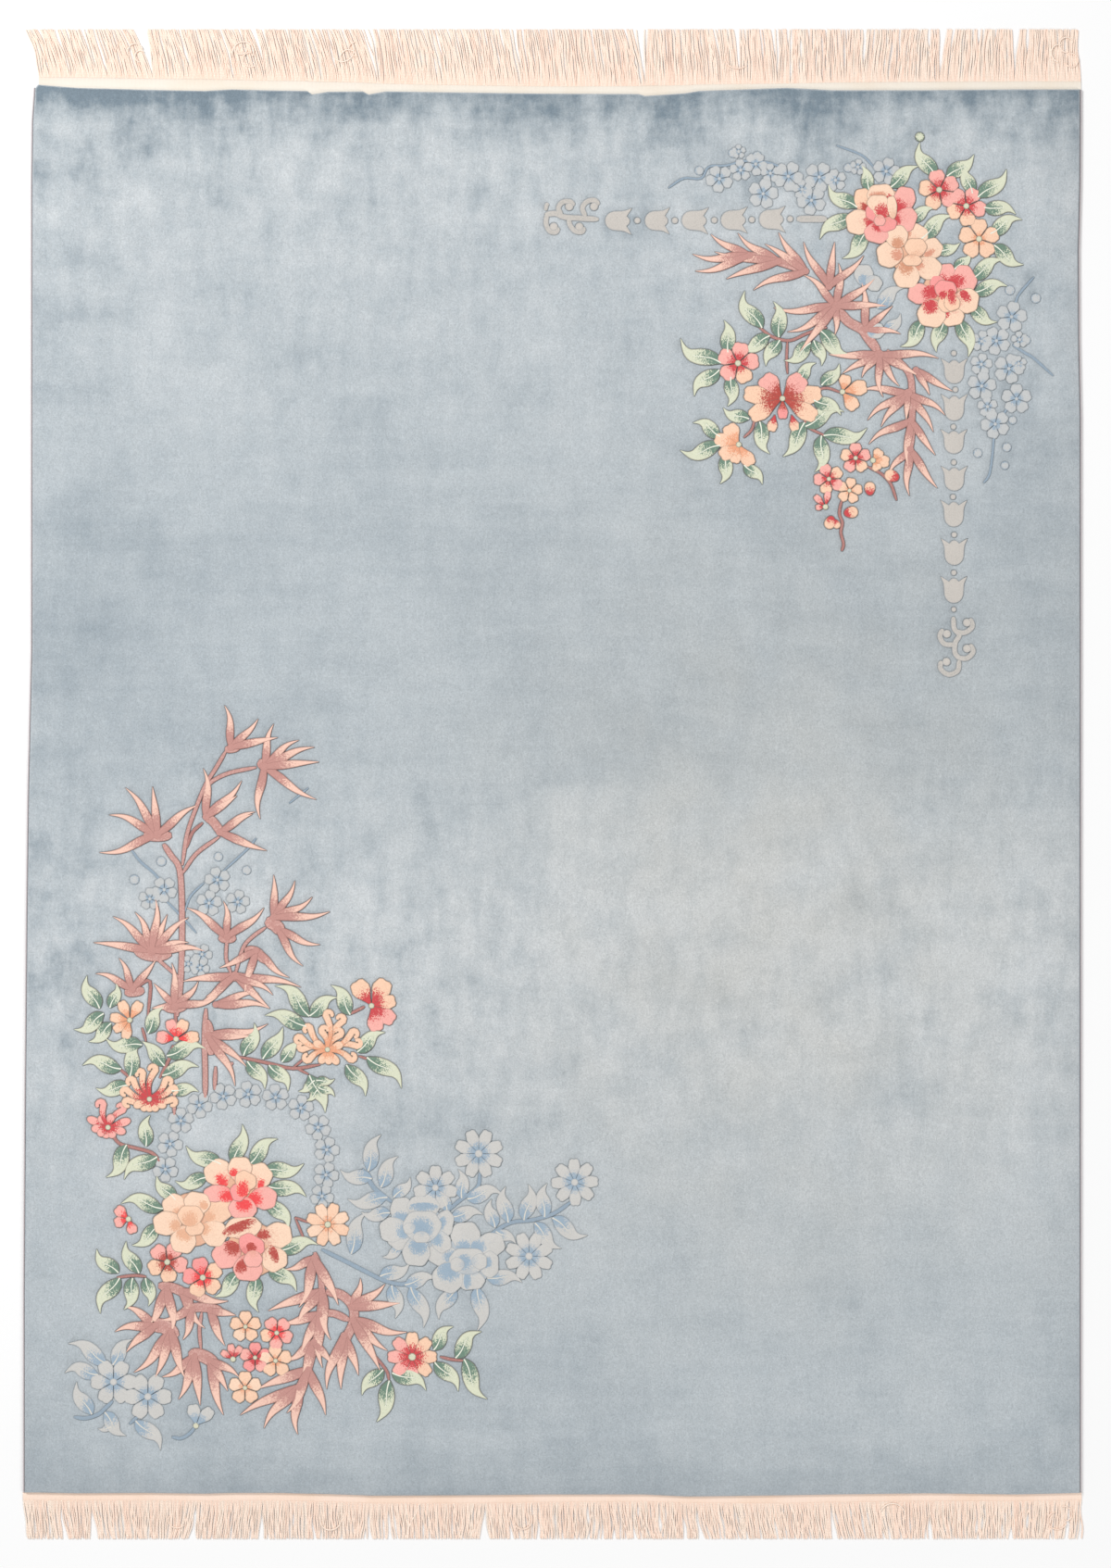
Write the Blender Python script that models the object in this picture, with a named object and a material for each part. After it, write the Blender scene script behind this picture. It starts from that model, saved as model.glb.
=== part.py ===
"""A room-size rug with a carved wool pile, corded sides and fringed cotton ends, lying flat.

Metres, +Z up. X runs across the rug and Y along it. The origin is on the floor, under the middle of the box
that holds the whole rug with its fringes. The underside is the plane z = 0.
"""
import math

import bmesh
import bpy
from mathutils import Vector
from mathutils.geometry import delaunay_2d_cdt

CM = 0.01  # the tables below are in centimetres

# Heights above the floor.
PILE_TOP = 0.0145
MOTIF_RISE = 0.0025
CORD_HEIGHT = 0.0085
BAND_HEIGHT = 0.0032
LOCK_HEIGHT = 0.0026
LOCK_TIP_HEIGHT = 0.0018

# Widths and clearances.
PIECE_GAP = 0.0003
CORD_WIDTH = 0.0052
LOCKS_PER_END = 110
LOCK_GAP_SHARE = 0.2
FRINGE_TIP_Y = 1.9535
MERGE_DISTANCE = 0.0006

# The rounded rim of the pile, from the floor up: how far it is drawn in, and its height.
RIM_PROFILE = (
    (0.0, 0.0),
    (0.0, 0.0085),
    (0.0014, 0.0122),
    (0.0052, PILE_TOP),
)

# The outer edges of the side cords: y, left x, right x.
SIDE_ROWS = (
    (-183.3, -137.0, 137.0),
    (-132.5, -137.0, 137.0),
    (-85.0, -136.7, 137.0),
    (-36.7, -136.3, 137.0),
    (-3.2, -135.9, 137.0),
    (35.0, -135.0, 137.0),
    (95.0, -135.0, 137.0),
    (115.0, -135.0, 136.6),
    (138.0, -135.0, 136.5),
    (155.0, -135.0, 136.9),
    (171.5, -134.8, 137.0),
    (179.9, -134.2, 137.0),
)

# The ends, which wander a little: x, top band edge, top pile edge, bottom pile edge, bottom band edge.
END_ROWS = (
    (-137.0, 183.1, 180.0, -183.2, -185.6),
    (-133.0, 183.3, 180.8, -183.2, -185.7),
    (-123.0, 183.2, 180.0, -183.4, -185.8),
    (-105.0, 182.9, 179.5, -183.3, -185.7),
    (-90.0, 182.8, 179.2, -183.5, -185.9),
    (-83.0, 182.6, 179.6, -183.3, -185.8),
    (-71.0, 182.4, 179.3, -183.3, -185.8),
    (-63.4, 182.3, 179.2, -183.5, -186.0),
    (-62.1, 182.2, 178.3, -183.5, -186.0),
    (-58.0, 182.1, 179.0, -183.6, -186.1),
    (-49.0, 181.9, 179.1, -183.9, -186.4),
    (-47.5, 181.8, 178.3, -184.0, -186.5),
    (-43.0, 181.6, 179.1, -184.0, -186.5),
    (-23.0, 181.2, 178.8, -183.9, -186.5),
    (0.0, 180.9, 178.5, -183.7, -186.2),
    (22.4, 181.0, 178.4, -183.7, -186.0),
    (24.0, 181.1, 177.9, -183.7, -186.0),
    (34.3, 181.2, 178.6, -184.2, -186.3),
    (38.0, 181.4, 179.2, -184.2, -186.4),
    (60.7, 181.6, 180.0, -183.9, -186.5),
    (72.6, 181.9, 179.4, -183.7, -186.2),
    (96.6, 182.1, 179.4, -183.4, -185.9),
    (120.0, 182.2, 179.6, -183.7, -185.9),
    (137.0, 182.2, 179.6, -183.3, -185.6),
)
TOP_BAND_LEFT = -132.9
TOP_BAND_RIGHT = 136.8
BOTTOM_BAND_LEFT = -137.0
BOTTOM_BAND_RIGHT = 137.0

# How far the tips of the fringe lean to the right of their roots: x, lean.
TOP_LEANS = (
    (-133.0, -3.4),
    (-100.0, -3.2),
    (-60.0, -3.2),
    (-30.0, -2.6),
    (20.0, -1.4),
    (60.0, -0.6),
    (90.0, 1.2),
    (115.0, 0.8),
    (137.0, -0.9),
)
BOTTOM_LEANS = (
    (-137.0, 0.9),
    (-125.0, 1.4),
    (-105.0, 0.2),
    (-90.0, -1.4),
    (-60.0, 0.3),
    (0.0, 0.2),
    (40.0, 1.2),
    (75.0, 1.6),
    (110.0, 0.0),
    (137.0, -0.9),
)

# Where the locks part and the floor shows: x, half of the opening at the tips.
TOP_PARTINGS = (
    (-118.0, 0.7),
    (-104.5, 2.1),
    (-93.0, 0.7),
    (-75.0, 0.9),
    (-45.5, 1.2),
    (-8.0, 0.6),
    (23.5, 1.6),
    (48.5, 0.8),
    (58.0, 1.0),
    (81.0, 0.6),
    (101.0, 0.8),
    (120.5, 1.0),
)
BOTTOM_PARTINGS = (
    (-127.0, 0.6),
    (-120.0, 0.8),
    (-92.0, 1.1),
    (-73.5, 0.8),
    (-47.5, 0.6),
    (-43.0, 0.7),
    (-18.5, 1.3),
    (1.5, 0.4),
    (12.5, 0.5),
    (37.0, 0.8),
    (71.0, 0.8),
    (97.0, 0.8),
)
PARTING_SPREAD = 5.0  # how far to each side of a parting the locks are pushed, in centimetres

# Soft creases in the pile that run along the rug: x, y of the low end, y of the high end.
CREASES = (
    (-58.0, -172.0, -139.5),
    (25.0, -178.0, -128.0),
    (31.0, -80.0, -34.0),
    (-93.0, 70.0, 118.0),
)
CREASE_HALF_WIDTH = 2.2

# Flowers and the larger blossoms: x, y, radius, petals.
FLOWERS = (
    (85.5, 148.0, 8.8, 8),
    (91.5, 137.0, 8.5, 8),
    (101.5, 125.5, 9.0, 9),
    (100.0, 153.5, 5.3, 5),
    (107.0, 149.3, 5.2, 5),
    (110.3, 140.8, 5.3, 5),
    (48.0, 108.7, 5.5, 5),
    (59.3, 100.1, 8.3, 7),
    (47.5, 88.8, 4.8, 5),
    (77.3, 102.0, 3.9, 4),
    (78.4, 84.2, 4.0, 5),
    (71.5, 78.8, 4.0, 5),
    (-80.5, -103.5, 8.5, 8),
    (-93.5, -112.0, 9.5, 9),
    (-77.0, -119.0, 9.0, 8),
    (-109.0, -60.7, 5.0, 5),
    (-97.5, -65.2, 4.4, 5),
    (-109.5, -112.3, 3.5, 4),
    (-58.0, -113.8, 5.8, 8),
    (-99.5, -123.5, 5.3, 5),
    (-90.3, -127.5, 5.3, 5),
    (-79.3, -140.2, 4.1, 5),
    (-71.2, -141.8, 4.3, 5),
    (-76.8, -148.2, 4.0, 5),
    (-71.5, -149.0, 4.3, 5),
    (-79.4, -156.0, 4.3, 5),
    (-36.2, -148.0, 6.5, 8),
    (-46.2, -57.3, 6.0, 5),
    (-104.2, -80.6, 6.2, 7),
    (-114.6, -87.6, 5.4, 7),
    (-58.0, -66.5, 7.2, 8),
    (-19.0, -95.5, 6.0, 8),
    (5.8, -102.8, 6.2, 8),
    (-6.0, -122.0, 5.8, 8),
    (-30.0, -104.0, 5.5, 6),
    (-35.0, -115.0, 8.0, 8),
    (-21.5, -122.5, 8.3, 8),
    (-113.5, -154.5, 5.0, 5),
    (-104.5, -158.3, 5.5, 5),
)

# Broad leaves, from the stalk to the point: x, y, x, y.
LEAVES = (
    (82.0, 154.0, 80.5, 159.5), (87.5, 155.0, 94.3, 159.2), (78.3, 149.3, 71.8, 154.5),
    (76.5, 146.5, 69.5, 141.0), (81.0, 142.5, 75.3, 136.0), (96.0, 141.5, 103.3, 146.5),
    (99.0, 158.0, 95.3, 165.6), (102.0, 158.0, 108.8, 162.3), (109.0, 153.0, 107.5, 159.6),
    (110.5, 152.0, 117.0, 158.5), (112.0, 149.0, 119.5, 147.5), (113.5, 142.5, 121.0, 145.5),
    (114.5, 138.8, 121.5, 134.5), (109.0, 131.0, 116.3, 135.0), (109.5, 127.0, 117.3, 128.3),
    (108.5, 122.5, 114.5, 119.7), (95.5, 118.8, 90.3, 113.5), (101.5, 119.0, 99.5, 112.0),
    (105.5, 119.5, 107.3, 110.8), (42.0, 108.8, 33.5, 114.8), (45.0, 112.5, 44.5, 119.3),
    (42.0, 107.0, 37.0, 100.5), (46.0, 104.5, 45.5, 98.0), (54.0, 118.3, 50.0, 127.0),
    (59.0, 115.8, 57.3, 124.2), (56.0, 115.8, 48.8, 112.7), (67.0, 114.0, 58.5, 110.0),
    (69.5, 117.0, 77.0, 111.3), (70.0, 103.5, 74.0, 108.3), (65.5, 92.5, 75.0, 96.0),
    (70.5, 90.0, 81.0, 91.8), (69.5, 89.5, 68.0, 81.0), (64.5, 93.5, 59.0, 84.8),
    (54.5, 93.5, 56.5, 85.5), (50.5, 94.5, 44.5, 97.0), (43.0, 90.0, 36.7, 93.0),
    (43.0, 87.5, 33.5, 86.3), (44.8, 84.5, 43.5, 78.0), (50.0, 82.0, 54.0, 77.8),
    (-117.0, -57.5, -120.0, -49.8), (-114.5, -57.5, -112.8, -51.8), (-116.3, -59.3, -123.3, -63.2),
    (-114.3, -62.0, -119.5, -66.3), (-104.5, -64.5, -100.8, -57.8), (-106.5, -67.5, -115.0, -65.8),
    (-99.0, -70.0, -90.0, -68.5), (-109.5, -75.0, -106.5, -67.0), (-112.0, -73.5, -121.0, -72.8),
    (-110.0, -78.0, -117.5, -78.5), (-98.5, -77.5, -91.5, -79.5), (-105.0, -93.0, -104.0, -86.0),
    (-110.5, -93.5, -115.0, -101.3), (-102.5, -96.5, -110.3, -101.8), (-63.0, -60.0, -71.5, -52.3),
    (-64.5, -62.5, -74.0, -59.0), (-62.5, -59.5, -55.8, -55.5), (-80.5, -70.2, -77.5, -62.0),
    (-75.0, -71.0, -69.5, -63.0), (-79.0, -72.0, -74.5, -78.5), (-73.0, -73.0, -68.5, -79.0),
    (-50.0, -69.0, -43.5, -64.5), (-47.5, -71.0, -39.3, -78.3), (-52.5, -73.0, -48.3, -80.5),
    (-86.0, -97.5, -94.3, -93.8), (-83.0, -97.0, -80.3, -88.3), (-78.0, -97.5, -71.3, -92.0),
    (-74.0, -99.5, -64.5, -98.3), (-73.0, -104.0, -64.0, -106.5), (-98.0, -107.0, -102.0, -101.5),
    (-101.0, -109.5, -111.0, -108.5), (-102.0, -114.5, -108.3, -119.0), (-70.0, -120.5, -61.0, -119.0),
    (-73.0, -125.5, -66.3, -130.8), (-81.5, -126.5, -87.0, -132.3), (-112.5, -126.0, -117.5, -120.5),
    (-107.0, -126.0, -110.0, -118.5), (-112.0, -128.0, -116.5, -136.5), (-105.0, -128.0, -104.5, -134.5),
    (-23.0, -148.0, -18.4, -141.4), (-22.6, -149.0, -17.1, -158.6), (-28.0, -150.3, -24.6, -156.5),
    (-43.9, -151.7, -48.0, -158.5), (-42.2, -154.5, -45.2, -164.8), (-41.1, -152.4, -32.9, -156.5),
)
LEAF_SLENDERNESS = 0.19  # half width over length

# Bamboo sprays: x and y of the joint, then the tips of the blades that spring from it.
SPRAYS = (
    (51.0, 136.5, ((41.0, 142.0), (36.3, 136.9), (37.0, 132.5))),
    (58.5, 135.0, ((48.0, 142.3), (42.0, 137.5), (45.0, 130.5))),
    (65.5, 132.5, ((58.5, 142.5), (55.0, 139.5), (52.0, 127.6))),
    (71.5, 128.5, ((65.0, 140.0), (73.0, 140.0), (80.5, 136.5))),
    (73.5, 123.5, ((65.0, 131.5), (83.3, 130.5), (86.3, 123.5), (57.3, 123.0), (60.8, 116.8), (73.0, 116.0))),
    (81.0, 117.5, ((80.0, 129.5), (88.0, 123.5), (90.0, 116.3))),
    (84.5, 111.0, ((71.5, 111.0), (75.0, 106.0), (80.0, 105.0), (85.5, 100.0), (95.0, 105.3), (99.8, 110.0))),
    (92.0, 101.0, ((80.0, 101.8), (81.5, 94.0), (91.5, 94.0), (98.5, 91.0), (101.5, 95.3))),
    (92.7, 94.0, ((81.8, 87.8), (99.0, 85.0))),
    (92.5, 86.5, ((87.0, 80.0), (92.3, 74.5), (99.5, 76.5))),
    (-83.0, 9.5, ((-84.7, 20.3), (-76.0, 16.8), (-71.0, 12.0))),
    (-74.5, 4.5, ((-72.0, 15.5), (-65.5, 11.3), (-60.3, 5.7), (-61.0, -4.0), (-75.5, -9.0))),
    (-89.5, -8.5, ((-90.2, 4.0), (-80.3, 0.8), (-81.5, -3.0))),
    (-86.0, -12.5, ((-76.8, -7.2), (-73.8, -17.2))),
    (-102.0, -13.0, ((-114.5, -8.0), (-110.3, -1.0), (-103.3, -0.7), (-91.7, -5.5), (-117.0, -17.7))),
    (-103.5, -43.0, ((-118.5, -41.0), (-113.5, -34.3), (-102.5, -29.8), (-94.0, -34.5), (-89.8, -43.2))),
    (-84.0, -39.5, ((-94.5, -32.0), (-85.0, -30.3), (-74.5, -32.0))),
    (-72.0, -35.5, ((-72.0, -23.5), (-66.5, -25.0), (-57.5, -33.0), (-60.0, -41.5), (-64.5, -47.0))),
    (-76.5, -43.0, ((-68.0, -50.0), (-79.5, -54.0), (-86.0, -47.5))),
    (-82.0, -49.5, ((-95.5, -51.0), (-93.0, -57.5), (-65.0, -52.5), (-73.0, -58.0))),
    (-108.5, -53.0, ((-118.0, -49.0), (-112.0, -45.0), (-102.5, -45.5))),
    (-97.5, -57.5, ((-103.0, -51.5), (-98.3, -46.3), (-86.5, -55.0), (-103.5, -58.0))),
    (-89.0, -65.0, ((-73.5, -62.0), (-79.0, -73.0), (-82.0, -78.0))),
    (-98.0, -131.0, ((-105.5, -141.0), (-98.5, -142.0), (-83.5, -133.8))),
    (-90.0, -136.5, ((-101.0, -138.0), (-97.0, -144.0), (-84.5, -145.0))),
    (-100.5, -142.0, ((-110.5, -135.0), (-113.0, -141.5), (-110.0, -147.0), (-108.0, -152.0), (-102.5, -153.0))),
    (-90.5, -148.5, ((-100.8, -153.2), (-96.5, -159.0), (-91.0, -160.8), (-85.0, -163.0), (-84.0, -157.0))),
    (-61.0, -122.5, ((-69.0, -125.5), (-65.5, -135.0), (-55.5, -134.5))),
    (-50.0, -137.0, ((-39.5, -134.0), (-37.5, -141.8), (-43.0, -146.0))),
    (-60.0, -137.0, ((-73.0, -140.0), (-68.0, -149.0), (-49.5, -127.5))),
    (-54.0, -143.0, ((-58.5, -156.5), (-68.0, -145.5))),
    (-63.0, -151.5, ((-76.0, -156.0), (-58.7, -163.0), (-68.8, -163.0))),
    (-66.0, -157.0, ((-80.3, -163.0), (-75.3, -167.0), (-66.0, -168.0))),
)
BLADE_HALF_WIDTH = 0.95

# Bell flowers of the cream ornament, from the mouth to the closed end: x, y, x, y.
BELLS = (
    (20.6, 145.5, 12.9, 145.5),
    (30.7, 145.6, 23.2, 145.6),
    (40.9, 145.6, 33.2, 145.6),
    (50.6, 145.7, 43.3, 145.7),
    (60.4, 145.7, 53.0, 145.7),
    (103.8, 110.4, 103.8, 103.2),
    (103.7, 101.0, 103.7, 93.8),
    (103.7, 92.2, 103.7, 85.1),
    (103.8, 82.5, 103.8, 75.5),
    (103.8, 73.5, 103.8, 66.3),
    (103.7, 63.8, 103.7, 56.4),
    (103.8, 54.0, 103.8, 46.5),
)

# Round buds and beads: x, y, radius.
BEADS = (
    (22.0, 145.6, 0.95), (31.7, 145.6, 0.95), (41.8, 145.6, 0.95), (51.6, 145.6, 0.95), (61.5, 145.7, 0.95),
    (103.8, 83.8, 0.85), (103.8, 74.6, 0.85), (103.8, 65.0, 0.85), (103.8, 55.2, 0.85), (103.8, 45.3, 0.85),
    (4.0, 149.4, 1.5), (10.9, 149.3, 1.6), (0.0, 144.2, 1.5), (6.5, 143.8, 1.4), (107.0, 41.7, 1.6),
    (101.7, 38.1, 1.5), (107.0, 34.6, 1.6), (102.8, 30.6, 1.6), (88.0, 80.2, 1.9), (82.2, 76.5, 1.6),
    (78.0, 70.6, 1.7), (72.0, 67.7, 1.6), (-91.0, -162.5, 2.5),
)

# Stalks and straight bars: half width, then the points they pass through.
STALKS = (
    (0.65, ((63.2, 146.0), (71.0, 146.0))),
    (0.55, ((-2.0, 147.5), (3.0, 147.0), (8.0, 146.0), (12.0, 145.9))),
    (0.55, ((104.0, 45.0), (104.8, 41.0), (104.2, 36.0), (103.3, 30.0))),
    (0.45, ((74.9, 73.5), (74.3, 70.0), (75.2, 65.5), (74.8, 60.2))),
    (0.45, ((81.5, 82.0), (85.0, 80.2), (87.6, 77.5), (89.0, 73.3))),
    (0.45, ((53.5, 118.0), (57.0, 115.5), (61.5, 114.6), (66.0, 116.5), (71.0, 118.0))),
    (0.8, ((-100.5, -15.5), (-97.8, -20.0), (-95.9, -28.0), (-95.7, -42.0), (-97.0, -60.0))),
    (0.6, ((-95.6, -24.0), (-92.0, -18.0), (-88.0, -14.5))),
    (0.6, ((-85.5, 8.0), (-87.0, 4.0), (-89.5, 0.0))),
    (0.6, ((-76.5, 4.3), (-83.0, 3.0), (-89.3, -0.5))),
    (0.6, ((-74.0, -37.0), (-77.5, -39.5), (-80.0, -42.5))),
    (0.75, ((-89.5, -58.0), (-89.8, -68.0), (-89.7, -81.0))),
    (0.5, ((-81.0, -70.5), (-74.0, -72.0), (-67.0, -73.5), (-60.0, -72.5))),
    (0.5, ((-52.5, -59.5), (-50.0, -58.3), (-47.5, -57.3))),
    (0.5, ((-114.3, -89.5), (-112.0, -92.8), (-106.0, -94.5), (-101.5, -97.5))),
    (0.5, ((-48.7, -144.8), (-43.2, -151.0), (-42.2, -154.0))),
    (0.5, ((-29.0, -148.0), (-26.0, -148.8), (-23.0, -149.0))),
    (0.5, ((-60.0, -120.5), (-54.0, -123.5), (-48.0, -127.0), (-42.0, -129.0), (-36.0, -129.0))),
    (0.5, ((-16.0, -117.0), (-11.0, -113.5), (-4.0, -112.5), (2.0, -110.5), (4.5, -108.0))),
    (0.5, ((-123.5, -163.5), (-118.0, -163.0), (-113.5, -160.0))),
)


def remove_old_objects():
    """Start from an empty scene."""
    for old in list(bpy.data.objects):
        bpy.data.objects.remove(old, do_unlink=True)


def table_value(rows, place, column):
    """Read a table of rows at a place between its first column's values."""
    if place <= rows[0][0]:
        return rows[0][column]
    for low, high in zip(rows, rows[1:]):
        if place <= high[0]:
            share = (place - low[0]) / (high[0] - low[0])
            return low[column] + share * (high[column] - low[column])
    return rows[-1][column]


def plain_material(name, colour, roughness):
    """A matte cloth colour for one piece."""
    material = bpy.data.materials.new(name)
    material.use_nodes = True
    shader = material.node_tree.nodes["Principled BSDF"]
    shader.inputs["Base Color"].default_value = (*colour, 1.0)
    shader.inputs["Roughness"].default_value = roughness
    shader.inputs["Metallic"].default_value = 0.0
    return material


def add_piece(name, points, faces, material, smooth_angle=None):
    """Make one object from points and faces, with its faces turned outward."""
    mesh = bpy.data.meshes.new(name)
    mesh.from_pydata([tuple(point) for point in points], [], faces)
    shape = bmesh.new()
    shape.from_mesh(mesh)
    bmesh.ops.recalc_face_normals(shape, faces=shape.faces)
    shape.to_mesh(mesh)
    shape.free()
    mesh.materials.append(material)
    if smooth_angle:
        mesh.shade_smooth()
        mesh.set_sharp_from_angle(angle=smooth_angle)
    piece = bpy.data.objects.new(name, mesh)
    bpy.context.scene.collection.objects.link(piece)
    return piece


def side_x(y, side):
    """The inner edge of the left (-1) or right (+1) side cord, where the pile stops short of it."""
    edge = table_value(SIDE_ROWS, y / CM, 1 if side < 0 else 2) * CM
    return edge - side * (CORD_WIDTH + PIECE_GAP)


def pile_outline():
    """The outline of the pile, counter-clockwise from the left end of its bottom edge."""
    def end_edge(column):
        """One end of the pile, left to right, from side to side."""
        corner_y = END_ROWS[0][column] * CM
        left = side_x(corner_y, -1)
        right = side_x(corner_y, 1)
        inner_rows = [row for row in END_ROWS if left < row[0] * CM < right]
        edge = [Vector((left, corner_y))]
        edge += [Vector((row[0] * CM, row[column] * CM)) for row in inner_rows]
        edge.append(Vector((right, END_ROWS[-1][column] * CM)))
        return edge

    inner_sides = SIDE_ROWS[1:-1]
    outline = end_edge(3)
    outline += [Vector((side_x(row[0] * CM, 1), row[0] * CM)) for row in inner_sides]
    outline += list(reversed(end_edge(2)))
    outline += [Vector((side_x(row[0] * CM, -1), row[0] * CM)) for row in reversed(inner_sides)]
    return outline


def drawn_in(outline, inset):
    """The outline moved inwards by the same distance on every side."""
    half_width = max(point.x for point in outline)
    half_length = max(point.y for point in outline)
    return [Vector((point.x * (1 - inset / half_width), point.y * (1 - inset / half_length)))
            for point in outline]


def strip_motif(spine, half_widths, crest_shares):
    """A long motif round a spine: its outline, counter-clockwise, and the points of its crest."""
    left = []
    right = []
    for index, (point, half_width) in enumerate(zip(spine, half_widths)):
        before = spine[max(index - 1, 0)]
        after = spine[min(index + 1, len(spine) - 1)]
        along = (after - before).normalized()
        across = Vector((-along.y, along.x)) * half_width
        left.append(point + across)
        if half_width > 0:
            right.append(point - across)
    lengths = len(spine) - 1
    crest = []
    for share in crest_shares:
        place = share * lengths
        index = min(int(place), lengths - 1)
        crest.append(spine[index].lerp(spine[index + 1], place - index))
    return right + list(reversed(left)), crest


def leaf_motif(base_x, base_y, tip_x, tip_y, half_width):
    """A pointed leaf or blade, narrow at its base and widest a third of the way along."""
    base = Vector((base_x, base_y)) * CM
    tip = Vector((tip_x, tip_y)) * CM
    spine = [base.lerp(tip, share) for share in (0.0, 0.34, 0.7, 1.0)]
    widths = [half_width * share * CM for share in (0.3, 1.0, 0.72, 0.0)]
    return strip_motif(spine, widths, (0.3, 0.66))


def bell_motif(mouth_x, mouth_y, end_x, end_y):
    """A bell flower: a flared mouth, a full body and a small closed end."""
    mouth = Vector((mouth_x, mouth_y)) * CM
    end = Vector((end_x, end_y)) * CM
    stations = ((0.0, 3.7), (0.16, 2.5), (0.5, 2.3), (0.82, 1.7), (1.0, 0.6))
    spine = [mouth.lerp(end, share) for share, width in stations]
    widths = [width * CM for share, width in stations]
    return strip_motif(spine, widths, (0.2, 0.5, 0.8))


def flower_motif(x, y, radius, petals):
    """A flower seen from above: scalloped petals round a middle."""
    centre = Vector((x, y)) * CM
    petal_angle = 2 * math.pi / petals
    outline = []
    for petal in range(petals):
        for share, reach in ((0.0, 0.78), (0.28, 1.0), (0.72, 1.0)):
            angle = (petal + share) * petal_angle
            outline.append(centre + Vector((math.cos(angle), math.sin(angle))) * radius * reach * CM)
    crest = [centre]
    for petal in range(petals):
        angle = (petal + 0.5) * petal_angle
        crest.append(centre + Vector((math.cos(angle), math.sin(angle))) * radius * 0.6 * CM)
    return outline, crest


def bead_motif(x, y, radius):
    """A small round bud."""
    centre = Vector((x, y)) * CM
    angles = [2 * math.pi * corner / 7 for corner in range(7)]
    outline = [centre + Vector((math.cos(angle), math.sin(angle))) * radius * CM for angle in angles]
    return outline, [centre]


def stalk_motif(half_width, points):
    """A stalk or bar of even width."""
    spine = [Vector(point) * CM for point in points]
    crest_count = 2 * (len(spine) - 1)
    crest_shares = [(index + 0.5) / crest_count for index in range(crest_count)]
    return strip_motif(spine, [half_width * CM] * len(spine), crest_shares)


def crease_motif(x, low_y, high_y):
    """A soft crease along the rug."""
    spine = [Vector((x, low_y + (high_y - low_y) * share)) * CM for share in (0.0, 0.35, 0.7, 1.0)]
    widths = [CREASE_HALF_WIDTH * share * CM for share in (0.5, 1.0, 1.0, 0.0)]
    return strip_motif(spine, widths, (0.25, 0.5, 0.75))


def blade_rows():
    """One row for each blade of the sprays, from its joint to its tip."""
    return [(x, y, tip_x, tip_y) for x, y, tips in SPRAYS for tip_x, tip_y in tips]


def leaf_half_width(row):
    """A leaf's half width, from its length."""
    return LEAF_SLENDERNESS * math.hypot(row[2] - row[0], row[3] - row[1])


def all_motifs():
    """Every raised motif, as an outline and a crest."""
    motifs = [flower_motif(*row) for row in FLOWERS]
    motifs += [leaf_motif(*row, leaf_half_width(row)) for row in LEAVES]
    motifs += [leaf_motif(*row, BLADE_HALF_WIDTH) for row in blade_rows()]
    motifs += [bell_motif(*row) for row in BELLS]
    motifs += [bead_motif(*row) for row in BEADS]
    motifs += [stalk_motif(*row) for row in STALKS]
    motifs += [crease_motif(*row) for row in CREASES]
    return motifs


def covers(outline, place):
    """Whether an outline goes round a place."""
    inside = False
    for start, end in zip(outline, outline[1:] + outline[:1]):
        if (start.y > place.y) != (end.y > place.y):
            crossing = start.x + (place.y - start.y) / (end.y - start.y) * (end.x - start.x)
            if place.x < crossing:
                inside = not inside
    return inside


def outline_reach(outline):
    """The lowest and highest x and y of an outline."""
    across = [point.x for point in outline]
    along = [point.y for point in outline]
    return min(across), max(across), min(along), max(along)


def carve_top(rim, motifs):
    """Divide the top of the pile along the motifs' outlines, and tell which points the motifs surround."""
    points = list(rim)
    faces = [list(range(len(rim)))]
    for outline, crest in motifs:
        faces.append(list(range(len(points), len(points) + len(outline))))
        points += outline + crest
    result = delaunay_2d_cdt(points, [], faces, 1, MERGE_DISTANCE)
    places, _, triangles, place_sources, _, _ = result
    reaches = [(outline_reach(outline), outline) for outline, crest in motifs]
    surrounded = [True] * len(places)
    for triangle in triangles:
        middle = (places[triangle[0]] + places[triangle[1]] + places[triangle[2]]) / 3
        covered = any(low_x < middle.x < high_x and low_y < middle.y < high_y and covers(outline, middle)
                      for (low_x, high_x, low_y, high_y), outline in reaches)
        if not covered:
            for corner in triangle:
                surrounded[corner] = False
    rim_places = {}
    for place, sources in enumerate(place_sources):
        for source in sources:
            if source < len(rim):
                rim_places[source] = place
    return places, triangles, surrounded, [rim_places[index] for index in range(len(rim))]


def build_pile_field(material):
    """The knotted pile: one slab with a rounded rim, a flat underside and the raised motifs."""
    outline = pile_outline()
    rings = [drawn_in(outline, inset) for inset, height in RIM_PROFILE]
    places, triangles, surrounded, rim_places = carve_top(rings[-1], all_motifs())
    points = [(place.x, place.y, PILE_TOP + MOTIF_RISE if is_raised else PILE_TOP)
              for place, is_raised in zip(places, surrounded)]
    ring_places = []
    for ring, (_, height) in zip(rings[:-1], RIM_PROFILE):
        ring_places.append(list(range(len(points), len(points) + len(ring))))
        points += [(point.x, point.y, height) for point in ring]
    ring_places.append(rim_places)
    faces = [list(triangle) for triangle in triangles]
    faces.append(list(reversed(ring_places[0])))
    count = len(outline)
    for low_ring, high_ring in zip(ring_places, ring_places[1:]):
        for index in range(count):
            following = (index + 1) % count
            faces.append([low_ring[index], low_ring[following], high_ring[following], high_ring[index]])
    return add_piece("pile_field", points, faces, material)


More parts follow.
